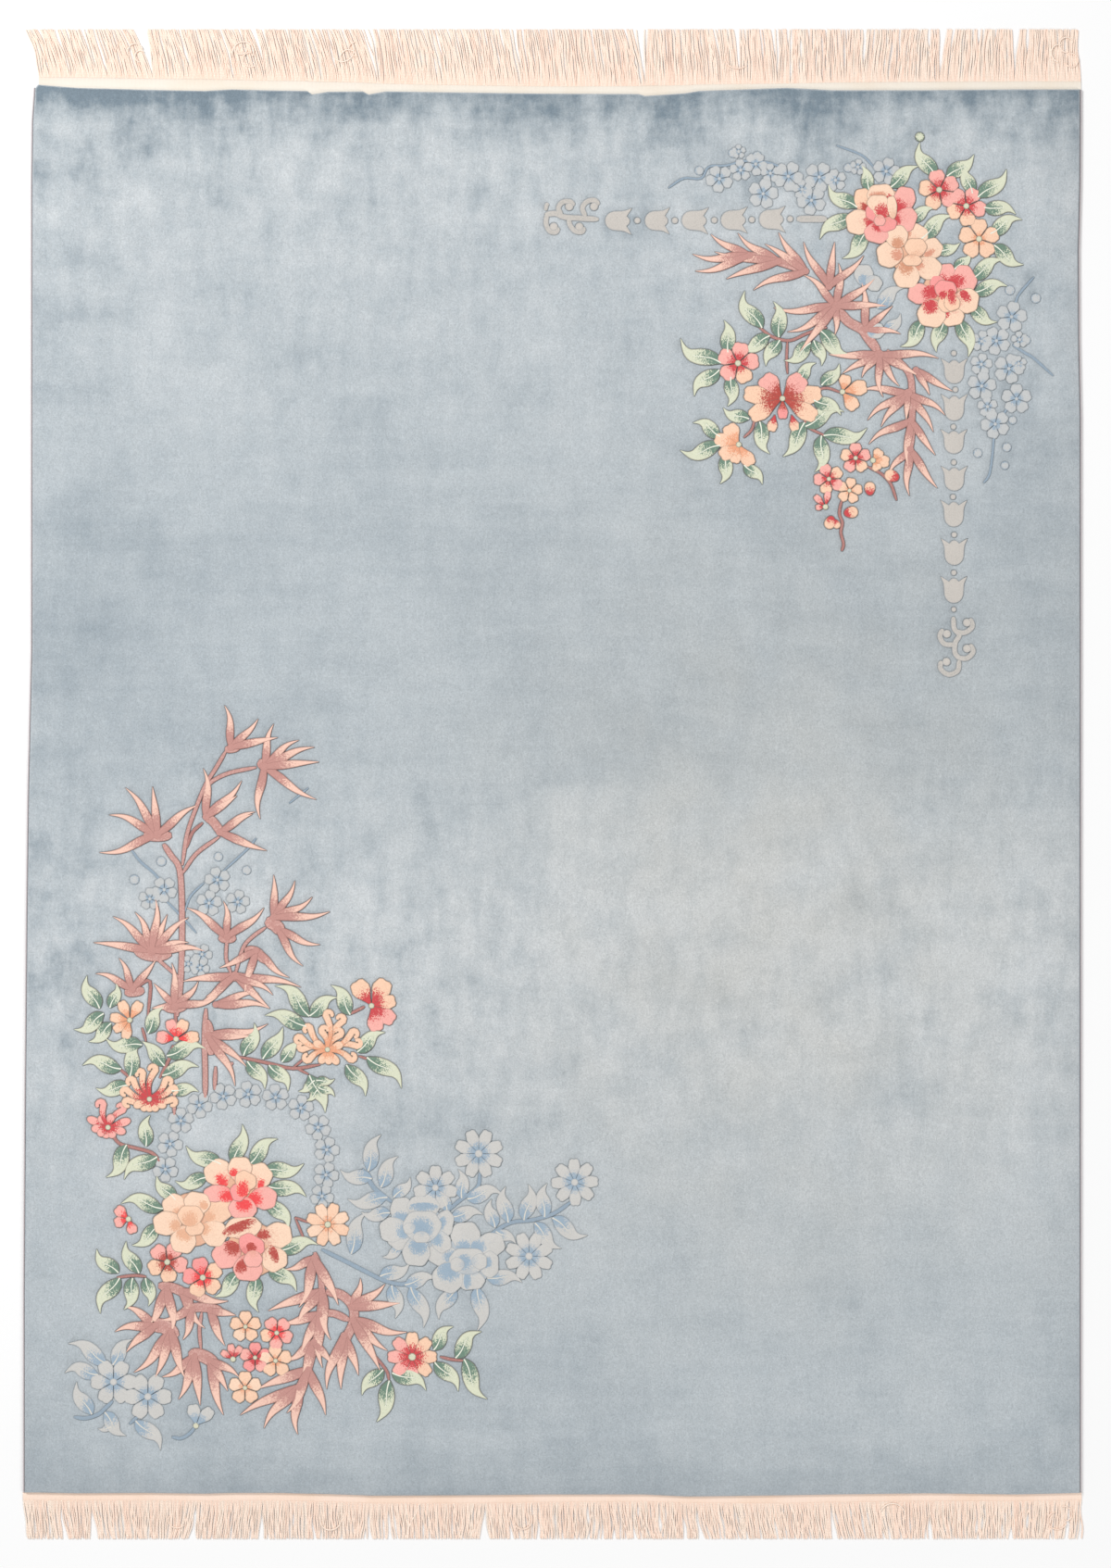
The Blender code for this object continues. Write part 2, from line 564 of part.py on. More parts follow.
def build_side_cord(name, side, material):
    """The overcast cord along one side: a rounded bar that follows the pile's edge."""
    column = 1 if side < 0 else 2
    ends_y = (END_ROWS[0 if side < 0 else -1][3] * CM, END_ROWS[0 if side < 0 else -1][2] * CM)
    stations = [ends_y[0]] + [row[0] * CM for row in SIDE_ROWS[1:-1]] + [ends_y[1]]
    profile = ((0.08, 0.0), (0.92, 0.0), (1.0, 0.35), (0.8, 0.85), (0.5, 1.0), (0.2, 0.85), (0.0, 0.35))
    points = []
    for y in stations:
        outer = table_value(SIDE_ROWS, y / CM, column) * CM
        for share, height in profile:
            points.append((outer - side * share * CORD_WIDTH, y, height * CORD_HEIGHT))
    count = len(profile)
    faces = [list(range(count)), list(reversed(range(len(points) - count, len(points))))]
    for station in range(len(stations) - 1):
        start = station * count
        for corner in range(count):
            following = (corner + 1) % count
            faces.append([start + corner, start + following, start + count + following, start + count + corner])
    return add_piece(name, points, faces, material, math.radians(50))


def parted_x(x, leans, partings, reach):
    """Where a root at x ends up at a share of the fringe's length, in centimetres."""
    shift = table_value(leans, x, 1)
    for centre, half_opening in partings:
        push = half_opening * math.exp(-abs(x - centre) / PARTING_SPREAD)
        shift += push if x > centre else -push
    return x + shift * reach


def lock_edges(left, right, partings):
    """The left and right edges of the locks along a band, with each parting between two locks."""
    pitch = (right - left) / LOCKS_PER_END
    borders = [left + pitch * index for index in range(LOCKS_PER_END + 1)]
    snapped = [(min(borders, key=lambda border: abs(border - centre)), opening) for centre, opening in partings]
    half_gap = pitch * LOCK_GAP_SHARE / 2
    edges = [(low + half_gap, high - half_gap) for low, high in zip(borders, borders[1:])]
    edges[0] = (left, edges[0][1])
    edges[-1] = (edges[-1][0], right)
    return edges, snapped


def build_fringe(name, end, left, right, leans, partings, material):
    """One end of the rug: a flat-woven band with its warps gathered in locks that lie on the floor.

    The end is +1 at the top of the rug and -1 at its bottom. The band lies between the pile and the roots, and
    each lock grows out of its own stretch of the band's outer side.
    """
    pile_column = 2 if end > 0 else 3
    band_column = 1 if end > 0 else 4
    edges, snapped = lock_edges(left, right, partings)
    points = []
    faces = []

    def add_quad_of_points(x_left, x_right, y_left, y_right, height):
        """The four corners of a lock's cross-section: low left, low right, high right, high left."""
        start = len(points)
        points.extend(((x_left, y_left, 0.0), (x_right, y_right, 0.0),
                       (x_right, y_right, height), (x_left, y_left, height)))
        return [start, start + 1, start + 2, start + 3]

    def add_line_of_points(line):
        """A low and a high point at each place of a line along the band."""
        start = len(points)
        for x, y in line:
            points.extend(((x, y, 0.0), (x, y, BAND_HEIGHT)))
        return [(start + 2 * index, start + 2 * index + 1) for index in range(len(line))]

    def join(ring, next_ring):
        """The four faces between two cross-sections."""
        for corner in range(4):
            following = (corner + 1) % 4
            faces.append([ring[corner], ring[following], next_ring[following], next_ring[corner]])

    def band_line(x, column, clearance=0.0):
        """The y of an edge of the band at x, in metres, with a clearance towards the fringe."""
        return table_value(END_ROWS, x, column) * CM + end * clearance

    inner_x = [left] + [row[0] for row in END_ROWS if left < row[0] < right] + [right]
    outer_x = [x for lock_edge in edges for x in lock_edge]
    inner = add_line_of_points([(x * CM, band_line(x, pile_column, PIECE_GAP)) for x in inner_x])
    outer = add_line_of_points([(x * CM, band_line(x, band_column)) for x in outer_x])
    border = inner + list(reversed(outer))
    for level in (0, 1):
        faces.append([pair[level] for pair in border])
    root_sides = set(range(len(inner), len(border), 2))
    for index, (low, high) in enumerate(border):
        next_low, next_high = border[(index + 1) % len(border)]
        if index not in root_sides:
            faces.append([low, high, next_high, next_low])

    for lock, (x_left, x_right) in enumerate(edges):
        low_left, high_left = outer[2 * lock]
        low_right, high_right = outer[2 * lock + 1]
        root = [low_left, low_right, high_right, high_left]
        root_left = band_line(x_left, band_column)
        root_right = band_line(x_right, band_column)
        ragged = 0.0016 * math.sin(lock * 2.4) + 0.0012 * math.sin(lock * 5.3)
        tip_y = end * (FRINGE_TIP_Y - 0.0028 - ragged)
        ring = root
        for reach, height in ((0.5, LOCK_HEIGHT), (1.0, LOCK_TIP_HEIGHT)):
            bow = reach ** 1.3
            lean_left = parted_x(x_left, leans, snapped, bow)
            lean_right = parted_x(x_right, leans, snapped, bow)
            narrowing = 0.12 * reach * (lean_right - lean_left)
            ring_now = add_quad_of_points(
                (lean_left + narrowing) * CM, (lean_right - narrowing) * CM,
                root_left + reach * (tip_y - root_left), root_right + reach * (tip_y - root_right), height)
            join(ring, ring_now)
            ring = ring_now
        faces.append(ring)
    return add_piece(name, points, faces, material)


def build_rug():
    """Every piece of the rug."""
    wool = plain_material("pile_wool", (0.44, 0.53, 0.60), 0.95)
    cord = plain_material("side_cord_wool", (0.50, 0.47, 0.48), 0.9)
    cotton = plain_material("fringe_cotton", (0.93, 0.79, 0.66), 0.9)
    build_pile_field(wool)
    build_side_cord("side_cord_left", -1, cord)
    build_side_cord("side_cord_right", 1, cord)
    build_fringe("fringe_top", 1, TOP_BAND_LEFT, TOP_BAND_RIGHT, TOP_LEANS, TOP_PARTINGS, cotton)
    build_fringe("fringe_bottom", -1, BOTTOM_BAND_LEFT, BOTTOM_BAND_RIGHT, BOTTOM_LEANS, BOTTOM_PARTINGS, cotton)


remove_old_objects()
build_rug()
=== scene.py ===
import math
import random

import bmesh
import bpy
import numpy as np
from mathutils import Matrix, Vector
from mathutils.geometry import delaunay_2d_cdt


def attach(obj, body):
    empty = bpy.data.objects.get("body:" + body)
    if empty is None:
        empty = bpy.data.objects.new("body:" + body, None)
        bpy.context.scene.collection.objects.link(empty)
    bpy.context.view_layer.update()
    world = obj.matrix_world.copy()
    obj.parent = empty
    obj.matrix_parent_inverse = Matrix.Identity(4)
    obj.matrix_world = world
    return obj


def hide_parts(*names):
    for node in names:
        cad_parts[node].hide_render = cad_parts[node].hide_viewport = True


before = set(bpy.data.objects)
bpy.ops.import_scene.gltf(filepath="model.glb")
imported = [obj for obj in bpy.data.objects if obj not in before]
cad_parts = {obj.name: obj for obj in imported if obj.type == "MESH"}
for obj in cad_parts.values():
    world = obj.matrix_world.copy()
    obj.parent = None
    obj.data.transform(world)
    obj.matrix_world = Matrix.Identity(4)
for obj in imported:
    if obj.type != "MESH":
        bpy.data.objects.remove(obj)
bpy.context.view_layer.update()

# Units. The tables are in centimetres, in the rug's own frame: X across, Y along, the middle at 0, 0.
CM = 0.01
MM = 0.001

# Heights above the floor.
PILE_TOP = 14.5 * MM
GROOVE_FLOOR = 12.2 * MM
GROOVE_WIDTH = 2.7 * MM
RELIEF = 15.9 * MM
LOW_RELIEF = 15.1 * MM
LAYER = 0.2 * MM

# How much one patch may rise over another, and how its place is mixed into its own share of that.
OWN_RISE = 0.12 * MM
RISE_MIX = (977.0, 613.0)

# How high the crests of the motifs stand.
PEONY_CREST = RELIEF + 0.4 * MM
FLOWER_CREST = RELIEF + 0.3 * MM
SMALL_CREST = RELIEF + 0.2 * MM
STALK_CREST = RELIEF - 0.2 * MM
BUTTON_CREST = RELIEF + 1.3 * MM
BELL_CREST = LOW_RELIEF + 0.2 * MM
BEAD_CREST = LOW_RELIEF + 0.4 * MM
LOW_TWIG_CREST = LOW_RELIEF - 0.2 * MM
LOW_BLOSSOM_CREST = LOW_RELIEF + 0.1 * MM
LOW_BLOSSOM_BUTTON_CREST = LOW_RELIEF + 0.7 * MM
LOW_FLOWER_CREST = LOW_RELIEF + 0.3 * MM
LOW_FLOWER_BUTTON_CREST = LOW_RELIEF + 1.0 * MM

# Side cords, end bands and fringe, where the solids have them.
PIECE_GAP = 0.3 * MM
CORD_WIDTH = 5.2 * MM
CORD_HEIGHT = 8.5 * MM
BAND_HEIGHT = 3.2 * MM
LOCKS_PER_END = 110
PARTING_SPREAD = 5.0
FRINGE_TIP_Y = 195.3

# The twisted strands of the fringe, and the wraps of the cords.
STRANDS_PER_END = 860
STRAND_RADIUS = 1.85 * MM
STRAND_SIDES = 5
STRAND_STEPS = 12
WRAP_PITCH = 3.6 * MM

# The rounded rim of the pile, from the floor up: how far it is drawn in, and its height.
RIM_PROFILE = (
    (0.0, 0.0),
    (0.0, 8.5 * MM),
    (1.4 * MM, 12.2 * MM),
    (5.2 * MM, PILE_TOP),
)

# The camera hangs straight over the rug.
CAMERA_LENS = 85.0
CAMERA_SENSOR = 36.0
CAMERA_X = 0.0084
HALF_VIEW_LENGTH = 2.0257

# The outer edges of the side cords: y, left x, right x.
SIDE_ROWS = (
    (-183.3, -137.0, 137.0), (-132.5, -137.0, 137.0), (-85.0, -136.7, 137.0), (-36.7, -136.3, 137.0),
    (-3.2, -135.9, 137.0), (35.0, -135.0, 137.0), (95.0, -135.0, 137.0), (115.0, -135.0, 136.6),
    (138.0, -135.0, 136.5), (155.0, -135.0, 136.9), (171.5, -134.8, 137.0), (179.9, -134.2, 137.0),
)

# The ends: x, top band edge, top pile edge, bottom pile edge, bottom band edge.
END_ROWS = (
    (-137.0, 183.1, 180.0, -183.2, -185.6), (-133.0, 183.3, 180.8, -183.2, -185.7),
    (-123.0, 183.2, 180.0, -183.4, -185.8), (-105.0, 182.9, 179.5, -183.3, -185.7),
    (-90.0, 182.8, 179.2, -183.5, -185.9), (-83.0, 182.6, 179.6, -183.3, -185.8),
    (-71.0, 182.4, 179.3, -183.3, -185.8), (-63.4, 182.3, 179.2, -183.5, -186.0),
    (-62.1, 182.2, 178.3, -183.5, -186.0), (-58.0, 182.1, 179.0, -183.6, -186.1),
    (-49.0, 181.9, 179.1, -183.9, -186.4), (-47.5, 181.8, 178.3, -184.0, -186.5),
    (-43.0, 181.6, 179.1, -184.0, -186.5), (-23.0, 181.2, 178.8, -183.9, -186.5),
    (0.0, 180.9, 178.5, -183.7, -186.2), (22.4, 181.0, 178.4, -183.7, -186.0),
    (24.0, 181.1, 177.9, -183.7, -186.0), (34.3, 181.2, 178.6, -184.2, -186.3),
    (38.0, 181.4, 179.2, -184.2, -186.4), (60.7, 181.6, 180.0, -183.9, -186.5),
    (72.6, 181.9, 179.4, -183.7, -186.2), (96.6, 182.1, 179.4, -183.4, -185.9),
    (120.0, 182.2, 179.6, -183.7, -185.9), (137.0, 182.2, 179.6, -183.3, -185.6),
)

# How far the tips of the fringe lean to the right of their roots: x, lean.
TOP_LEANS = (
    (-133.0, -3.4), (-100.0, -3.2), (-60.0, -3.2), (-30.0, -2.6), (20.0, -1.4),
    (60.0, -0.6), (90.0, 1.2), (115.0, 0.8), (137.0, -0.9),
)
BOTTOM_LEANS = (
    (-137.0, 0.9), (-125.0, 1.4), (-105.0, 0.2), (-90.0, -1.4), (-60.0, 0.3),
    (0.0, 0.2), (40.0, 1.2), (75.0, 1.6), (110.0, 0.0), (137.0, -0.9),
)

# Where the fringe parts and the floor shows: x, half of the opening at the tips.
TOP_PARTINGS = (
    (-118.0, 0.7), (-104.5, 2.1), (-93.0, 0.7), (-75.0, 0.9), (-45.5, 1.2), (-8.0, 0.6),
    (23.5, 1.6), (48.5, 0.8), (58.0, 1.0), (81.0, 0.6), (101.0, 0.8), (120.5, 1.0),
)
BOTTOM_PARTINGS = (
    (-127.0, 0.6), (-120.0, 0.8), (-92.0, 1.1), (-73.5, 0.8), (-47.5, 0.6), (-43.0, 0.7),
    (-18.5, 1.3), (1.5, 0.4), (12.5, 0.5), (37.0, 0.8), (71.0, 0.8), (97.0, 0.8),
)

# Soft creases along the pile: x, y of the low end, y of the high end.
CREASES = (
    (-58.0, -172.0, -139.5),
    (25.0, -178.0, -128.0),
    (31.0, -80.0, -34.0),
    (-93.0, 70.0, 118.0),
)

# The nap along the rug, painted as sheen and shade: y, how light it lies, how unrestful it is.
NAP_SHEEN_ROWS = (
    (-183.0, -0.16, 0.5), (-170.0, -0.08, 0.5), (-140.0, -0.03, 0.5), (-125.0, 0.03, 0.5),
    (-105.0, 0.18, 0.9), (-80.0, 0.26, 1.6), (-60.0, 0.34, 2.3), (-35.0, 0.36, 2.3), (-15.0, 0.2, 1.6),
    (5.0, -0.06, 0.7), (20.0, -0.08, 0.5), (60.0, -0.09, 0.5), (85.0, 0.02, 0.6), (105.0, 0.1, 1.0),
    (130.0, 0.16, 1.4), (150.0, 0.22, 1.9), (165.0, 0.12, 2.2), (174.0, -0.02, 2.4), (180.0, -0.55, 2.6),
)
# Where the painted sheen and shade of the nap are darker or lighter than that: x, y, reach across, reach
# along, strength.
NAP_SHEEN_PATCHES = (
    (-118.0, 178.0, 20.0, 5.0, -0.5),
    (-106.0, 170.0, 5.0, 9.0, -0.3),
    (-92.0, 178.0, 12.0, 3.5, -0.35),
    (-71.0, 178.0, 6.0, 4.0, -0.4),
    (-50.0, 178.5, 9.0, 3.5, -0.35),
    (10.0, 177.0, 20.0, 4.0, -0.3),
    (8.0, 163.0, 5.0, 14.0, -0.2),
    (22.0, 150.0, 5.0, 14.0, -0.16),
    (50.0, 170.0, 36.0, 9.0, -0.24),
    (84.0, 175.0, 36.0, 5.0, -0.28),
    (118.0, 174.0, 20.0, 5.0, -0.2),
    (132.0, 165.0, 4.0, 12.0, -0.15),
    (62.0, 158.0, 22.0, 7.0, -0.18),
    (126.0, 90.0, 11.0, 75.0, -0.12),
    (60.0, 77.0, 16.0, 6.0, -0.12),
    (-126.0, 118.0, 16.0, 30.0, -0.2),
    (-129.0, 45.0, 13.0, 60.0, -0.12),
    (-129.0, -34.0, 14.0, 24.0, -0.4),
    (-122.0, 163.0, 14.0, 12.0, -0.22),
    (60.0, 171.0, 12.0, 6.0, 0.2),
    (-30.0, -140.0, 22.0, 14.0, 0.16),
    (-102.0, 12.0, 18.0, 16.0, -0.16),
    (-80.0, -88.0, 20.0, 8.0, 0.2),
    (-40.0, -172.0, 30.0, 10.0, 0.1),
    (-42.0, -86.0, 15.0, 9.0, -0.26),
    (90.0, -34.0, 60.0, 13.0, 0.08),
    (120.0, -90.0, 18.0, 14.0, 0.08),
    (-105.0, -178.0, 34.0, 8.0, -0.06),
)
# The yellowed part of the field: x, y, reach across, reach along.
YELLOWED = (58.0, -35.0, 75.0, 95.0)
# The share of a yarn's colour that it gives back, as the lamps are a little stronger than white needs.
YARN_SHARE = 0.91


def yarn(red, green, blue):
    """A dyed yarn's colour, from how it looks: screen values turned into light values.

    The values go past 255 for cotton that has to come out nearly white.
    """
    channels = []
    for value in (red, green, blue):
        share = value / 255
        light = share / 12.92 if share <= 0.04045 else ((share + 0.055) / 1.055) ** 2.4
        channels.append(YARN_SHARE * light)
    return tuple(channels)


# Dyed yarns, and after them the painted shade of the outlines.
CREAM = yarn(254, 219, 193)
PEACH = yarn(253, 211, 182)
PINK = yarn(252, 184, 174)
SALMON = yarn(252, 164, 160)
CRIMSON = yarn(212, 82, 86)
RED = yarn(244, 84, 86)
BRICK = yarn(190, 86, 78)
TAN = yarn(219, 157, 127)
PALE_TAN = yarn(238, 184, 152)
ROSE_TAN = yarn(225, 160, 135)
ORANGE = yarn(240, 170, 134)
BUTTON = yarn(222, 220, 194)
LEAF_DARK = yarn(118, 144, 128)
LEAF_LIGHT = yarn(224, 227, 202)
LEAF_VEIN = yarn(244, 246, 230)
LOW_VEIN = yarn(224, 220, 210)
BLADE_DARK = yarn(201, 150, 142)
BLADE_LIGHT = yarn(250, 208, 190)
TWIG_DARK = yarn(180, 128, 122)
TWIG_LIGHT = yarn(198, 148, 140)
TRUNK_DARK = yarn(200, 152, 145)
TRUNK_LIGHT = yarn(226, 184, 174)
STONE = yarn(192, 188, 182)
STONE_LIGHT = yarn(206, 200, 193)
PALE_GREY = yarn(209, 207, 203)
MIST = yarn(201, 203, 203)
MIST_BLUE = yarn(160, 179, 195)
TWIG_BLUE = yarn(154, 170, 184)
# Painted shade for the outlines, where the edges of the motifs drop into their carved grooves.
OUTLINE_SHADE = yarn(126, 114, 104)
BLADE_OUTLINE_SHADE = yarn(146, 104, 98)
LOW_OUTLINE_SHADE = yarn(142, 151, 160)

# Large flowers, from back to front. Each row: yarn, x, y, half length, half width, direction in degrees.
# A row with a dark yarn is a hollow in the petal before it, and its direction is where it is darkest.
DARK_YARNS = (CRIMSON, RED, BRICK, TAN, PALE_TAN, ROSE_TAN, MIST_BLUE)
PEONIES = (
    (
        (PEACH, 80.4, 150.6, 3.2, 2.1, 100), (BRICK, 80.5, 149.4, 1.3, 0.8, 310),
        (CREAM, 84.9, 151.9, 3.0, 3.2, 95), (CRIMSON, 86.8, 151.7, 1.1, 0.6, 315),
        (ROSE_TAN, 84.3, 152.5, 0.7, 1.7, 270),
        (PINK, 91.0, 150.9, 3.3, 2.5, 80), (CRIMSON, 89.8, 149.8, 1.6, 1.4, 250),
        (PINK, 91.3, 145.8, 2.7, 3.0, 340), (CRIMSON, 89.2, 146.0, 1.3, 1.1, 205),
        (CREAM, 79.5, 145.2, 3.5, 2.9, 190), (CRIMSON, 81.6, 145.2, 1.6, 1.0, 325),
        (PINK, 83.8, 142.4, 2.6, 2.9, 255), (CRIMSON, 84.3, 143.5, 1.1, 1.2, 90),
        (SALMON, 86.6, 144.6, 1.9, 2.2, 290),
        (SALMON, 83.8, 147.6, 2.5, 2.6, 240),
        (CREAM, 84.2, 149.9, 2.2, 2.6, 90), (CRIMSON, 84.9, 148.5, 1.7, 1.4, 290),
        (CREAM, 87.8, 148.9, 2.9, 1.2, 95),
        (PINK, 84.6, 145.6, 1.5, 1.4, 270),
    ),
    (
        (CREAM, 94.3, 142.0, 2.5, 2.6, 60), (ROSE_TAN, 92.2, 142.2, 0.9, 0.6, 215),
        (CREAM, 98.0, 138.2, 2.8, 2.4, 40), (ROSE_TAN, 97.9, 137.4, 1.4, 0.6, 215),
        (CREAM, 97.0, 133.4, 3.5, 2.7, 340), (ROSE_TAN, 95.0, 133.8, 1.3, 0.9, 160),
        (CREAM, 91.6, 131.5, 3.3, 3.0, 268), (TAN, 91.5, 132.8, 1.7, 1.4, 90),
        (CREAM, 87.3, 136.8, 3.3, 3.0, 190), (ROSE_TAN, 88.6, 136.9, 1.3, 1.0, 330),
        (CREAM, 89.0, 141.3, 2.9, 2.7, 100), (TAN, 89.2, 140.3, 1.3, 1.1, 270),
        (PEACH, 93.9, 138.5, 2.4, 2.6, 90),
        (PEACH, 93.0, 135.3, 1.5, 2.3, 270),
    ),
    (
        (PINK, 102.1, 131.9, 2.5, 1.9, 95), (CRIMSON, 101.0, 130.3, 1.5, 1.4, 250),
        (PINK, 106.5, 130.6, 2.8, 3.2, 30), (CRIMSON, 105.1, 129.9, 2.0, 1.3, 190),
        (SALMON, 99.7, 129.6, 2.1, 1.6, 160),
        (PINK, 95.2, 126.6, 3.2, 2.4, 170), (CRIMSON, 97.0, 126.8, 1.9, 1.3, 15),
        (CREAM, 103.4, 120.9, 2.5, 2.7, 280), (CRIMSON, 101.5, 121.5, 1.6, 0.9, 160),
        (CREAM, 107.0, 124.9, 3.1, 2.9, 350), (CRIMSON, 107.1, 125.6, 1.6, 0.8, 130),
        (CREAM, 98.1, 121.6, 3.5, 3.3, 260), (CRIMSON, 97.6, 122.7, 1.6, 1.5, 85),
        (SALMON, 101.6, 127.6, 2.4, 2.6, 80),
        (PEACH, 102.3, 124.4, 2.5, 2.5, 280), (CRIMSON, 101.3, 126.0, 1.0, 0.9, 135),
        (PEACH, 103.2, 124.4, 2.2, 1.9, 290), (CRIMSON, 103.4, 125.2, 1.8, 0.8, 100),
    ),
    (
        (CREAM, -86.3, -100.5, 3.4, 3.2, 130), (RED, -85.8, -102.0, 1.7, 1.0, 310),
        (CREAM, -75.9, -101.4, 3.4, 2.9, 40), (RED, -75.1, -102.9, 1.2, 0.7, 250),
        (PINK, -74.6, -106.9, 3.3, 2.7, 350), (RED, -76.2, -107.5, 1.7, 1.3, 160),
        (PINK, -80.0, -109.4, 2.9, 3.3, 265), (RED, -79.7, -109.4, 1.4, 1.6, 90),
        (PINK, -86.6, -105.7, 3.4, 2.0, 190), (RED, -84.7, -106.4, 1.8, 1.1, 0),
        (CREAM, -80.7, -99.6, 3.2, 2.8, 90), (RED, -82.3, -99.9, 1.0, 0.8, 270),
        (SALMON, -81.1, -105.5, 2.0, 2.1, 200),
        (PEACH, -79.3, -102.6, 2.5, 2.6, 60), (RED, -79.8, -103.9, 1.9, 1.2, 260),
    ),
    (
        (CREAM, -97.6, -109.0, 3.0, 2.7, 130), (PALE_TAN, -97.3, -110.3, 1.0, 0.7, 330),
        (PEACH, -86.5, -109.8, 3.6, 3.2, 10), (PALE_TAN, -87.9, -111.8, 1.2, 1.0, 180),
        (CREAM, -87.5, -116.0, 3.5, 3.0, 330), (PALE_TAN, -89.5, -115.4, 1.4, 1.1, 135),
        (CREAM, -95.3, -117.6, 3.5, 3.0, 260), (PALE_TAN, -94.9, -117.0, 1.5, 1.6, 90),
        (CREAM, -99.4, -113.4, 3.6, 2.8, 190), (PALE_TAN, -98.0, -114.2, 1.3, 1.1, 20),
        (CREAM, -91.8, -108.4, 2.9, 3.1, 80), (PALE_TAN, -90.4, -108.5, 1.1, 0.8, 320),
        (PEACH, -92.4, -114.6, 2.0, 2.2, 280),
        (PEACH, -93.5, -111.6, 2.7, 3.0, 90), (PALE_TAN, -93.6, -111.7, 1.7, 1.4, 270),
    ),
    (
        (CREAM, -71.3, -116.7, 3.9, 3.0, 10), (BRICK, -74.0, -116.6, 1.6, 1.0, 170),
        (PINK, -84.0, -121.5, 3.7, 3.1, 210), (BRICK, -83.0, -120.4, 1.6, 1.6, 60),
        (CREAM, -71.9, -122.6, 3.2, 3.0, 300), (BRICK, -72.3, -121.6, 1.0, 1.7, 20),
        (PINK, -78.6, -124.9, 3.4, 3.4, 265), (BRICK, -79.8, -124.8, 1.3, 1.5, 140),
        (CREAM, -79.8, -114.7, 2.8, 4.2, 95), (BRICK, -80.7, -114.8, 1.2, 3.2, 112),
        (SALMON, -77.8, -119.2, 2.7, 3.2, 60), (BRICK, -77.4, -119.9, 1.2, 0.9, 150),
        (PINK, -77.3, -122.6, 2.2, 2.2, 270),
    ),
)

# Flowers seen from above: x, y, radius, petals, first petal's direction, petal yarns, yarn at the heart.
OPEN_FLOWERS = (
    (100.0, 153.5, 5.3, 5, 100, (PINK, PEACH, PEACH, PINK, PINK), CRIMSON),
    (107.0, 149.3, 5.2, 5, 60, (PINK, PINK, PEACH, PEACH, PINK), CRIMSON),
    (110.3, 140.8, 5.3, 5, 90, (PEACH, PEACH, PEACH, PEACH, PEACH), ORANGE),
    (48.0, 108.7, 5.5, 5, 80, (PINK, PINK, PINK, PEACH, PINK), CRIMSON),
    (78.4, 84.2, 4.0, 5, 90, (PINK, PEACH, PINK, PEACH, PINK), CRIMSON),
    (71.5, 78.8, 4.0, 5, 110, (PINK, PINK, PEACH, PINK, PEACH), CRIMSON),
    (76.8, 75.8, 3.4, 5, 80, (PEACH, PEACH, PEACH, PEACH, PEACH), ORANGE),
    (-58.0, -113.8, 5.8, 8, 70, (PEACH, CREAM), ORANGE),
    (-99.5, -123.5, 5.3, 5, 60, (PINK, PINK, PEACH, PEACH, PINK), BRICK),
    (-90.3, -127.5, 5.3, 5, 30, (PEACH, SALMON, SALMON, PEACH, PEACH), RED),
    (-79.3, -140.2, 4.1, 5, 90, (PEACH, PEACH, CREAM, PEACH, PEACH), ORANGE),
    (-71.2, -141.8, 4.3, 5, 50, (PINK, PINK, PEACH, PINK, PINK), RED),
    (-76.8, -148.2, 4.0, 5, 90, (SALMON, PINK, SALMON, PINK, SALMON), CRIMSON),
    (-71.5, -149.0, 4.3, 5, 20, (PEACH, PEACH, CREAM, PEACH, PEACH), ORANGE),
    (-79.4, -156.0, 4.3, 5, 90, (PEACH, CREAM, PEACH, PEACH, CREAM), ORANGE),
    (-36.2, -148.0, 6.5, 8, 90, (PEACH, PINK, PINK, PINK, PINK, PEACH, PEACH, PEACH), CRIMSON),
)

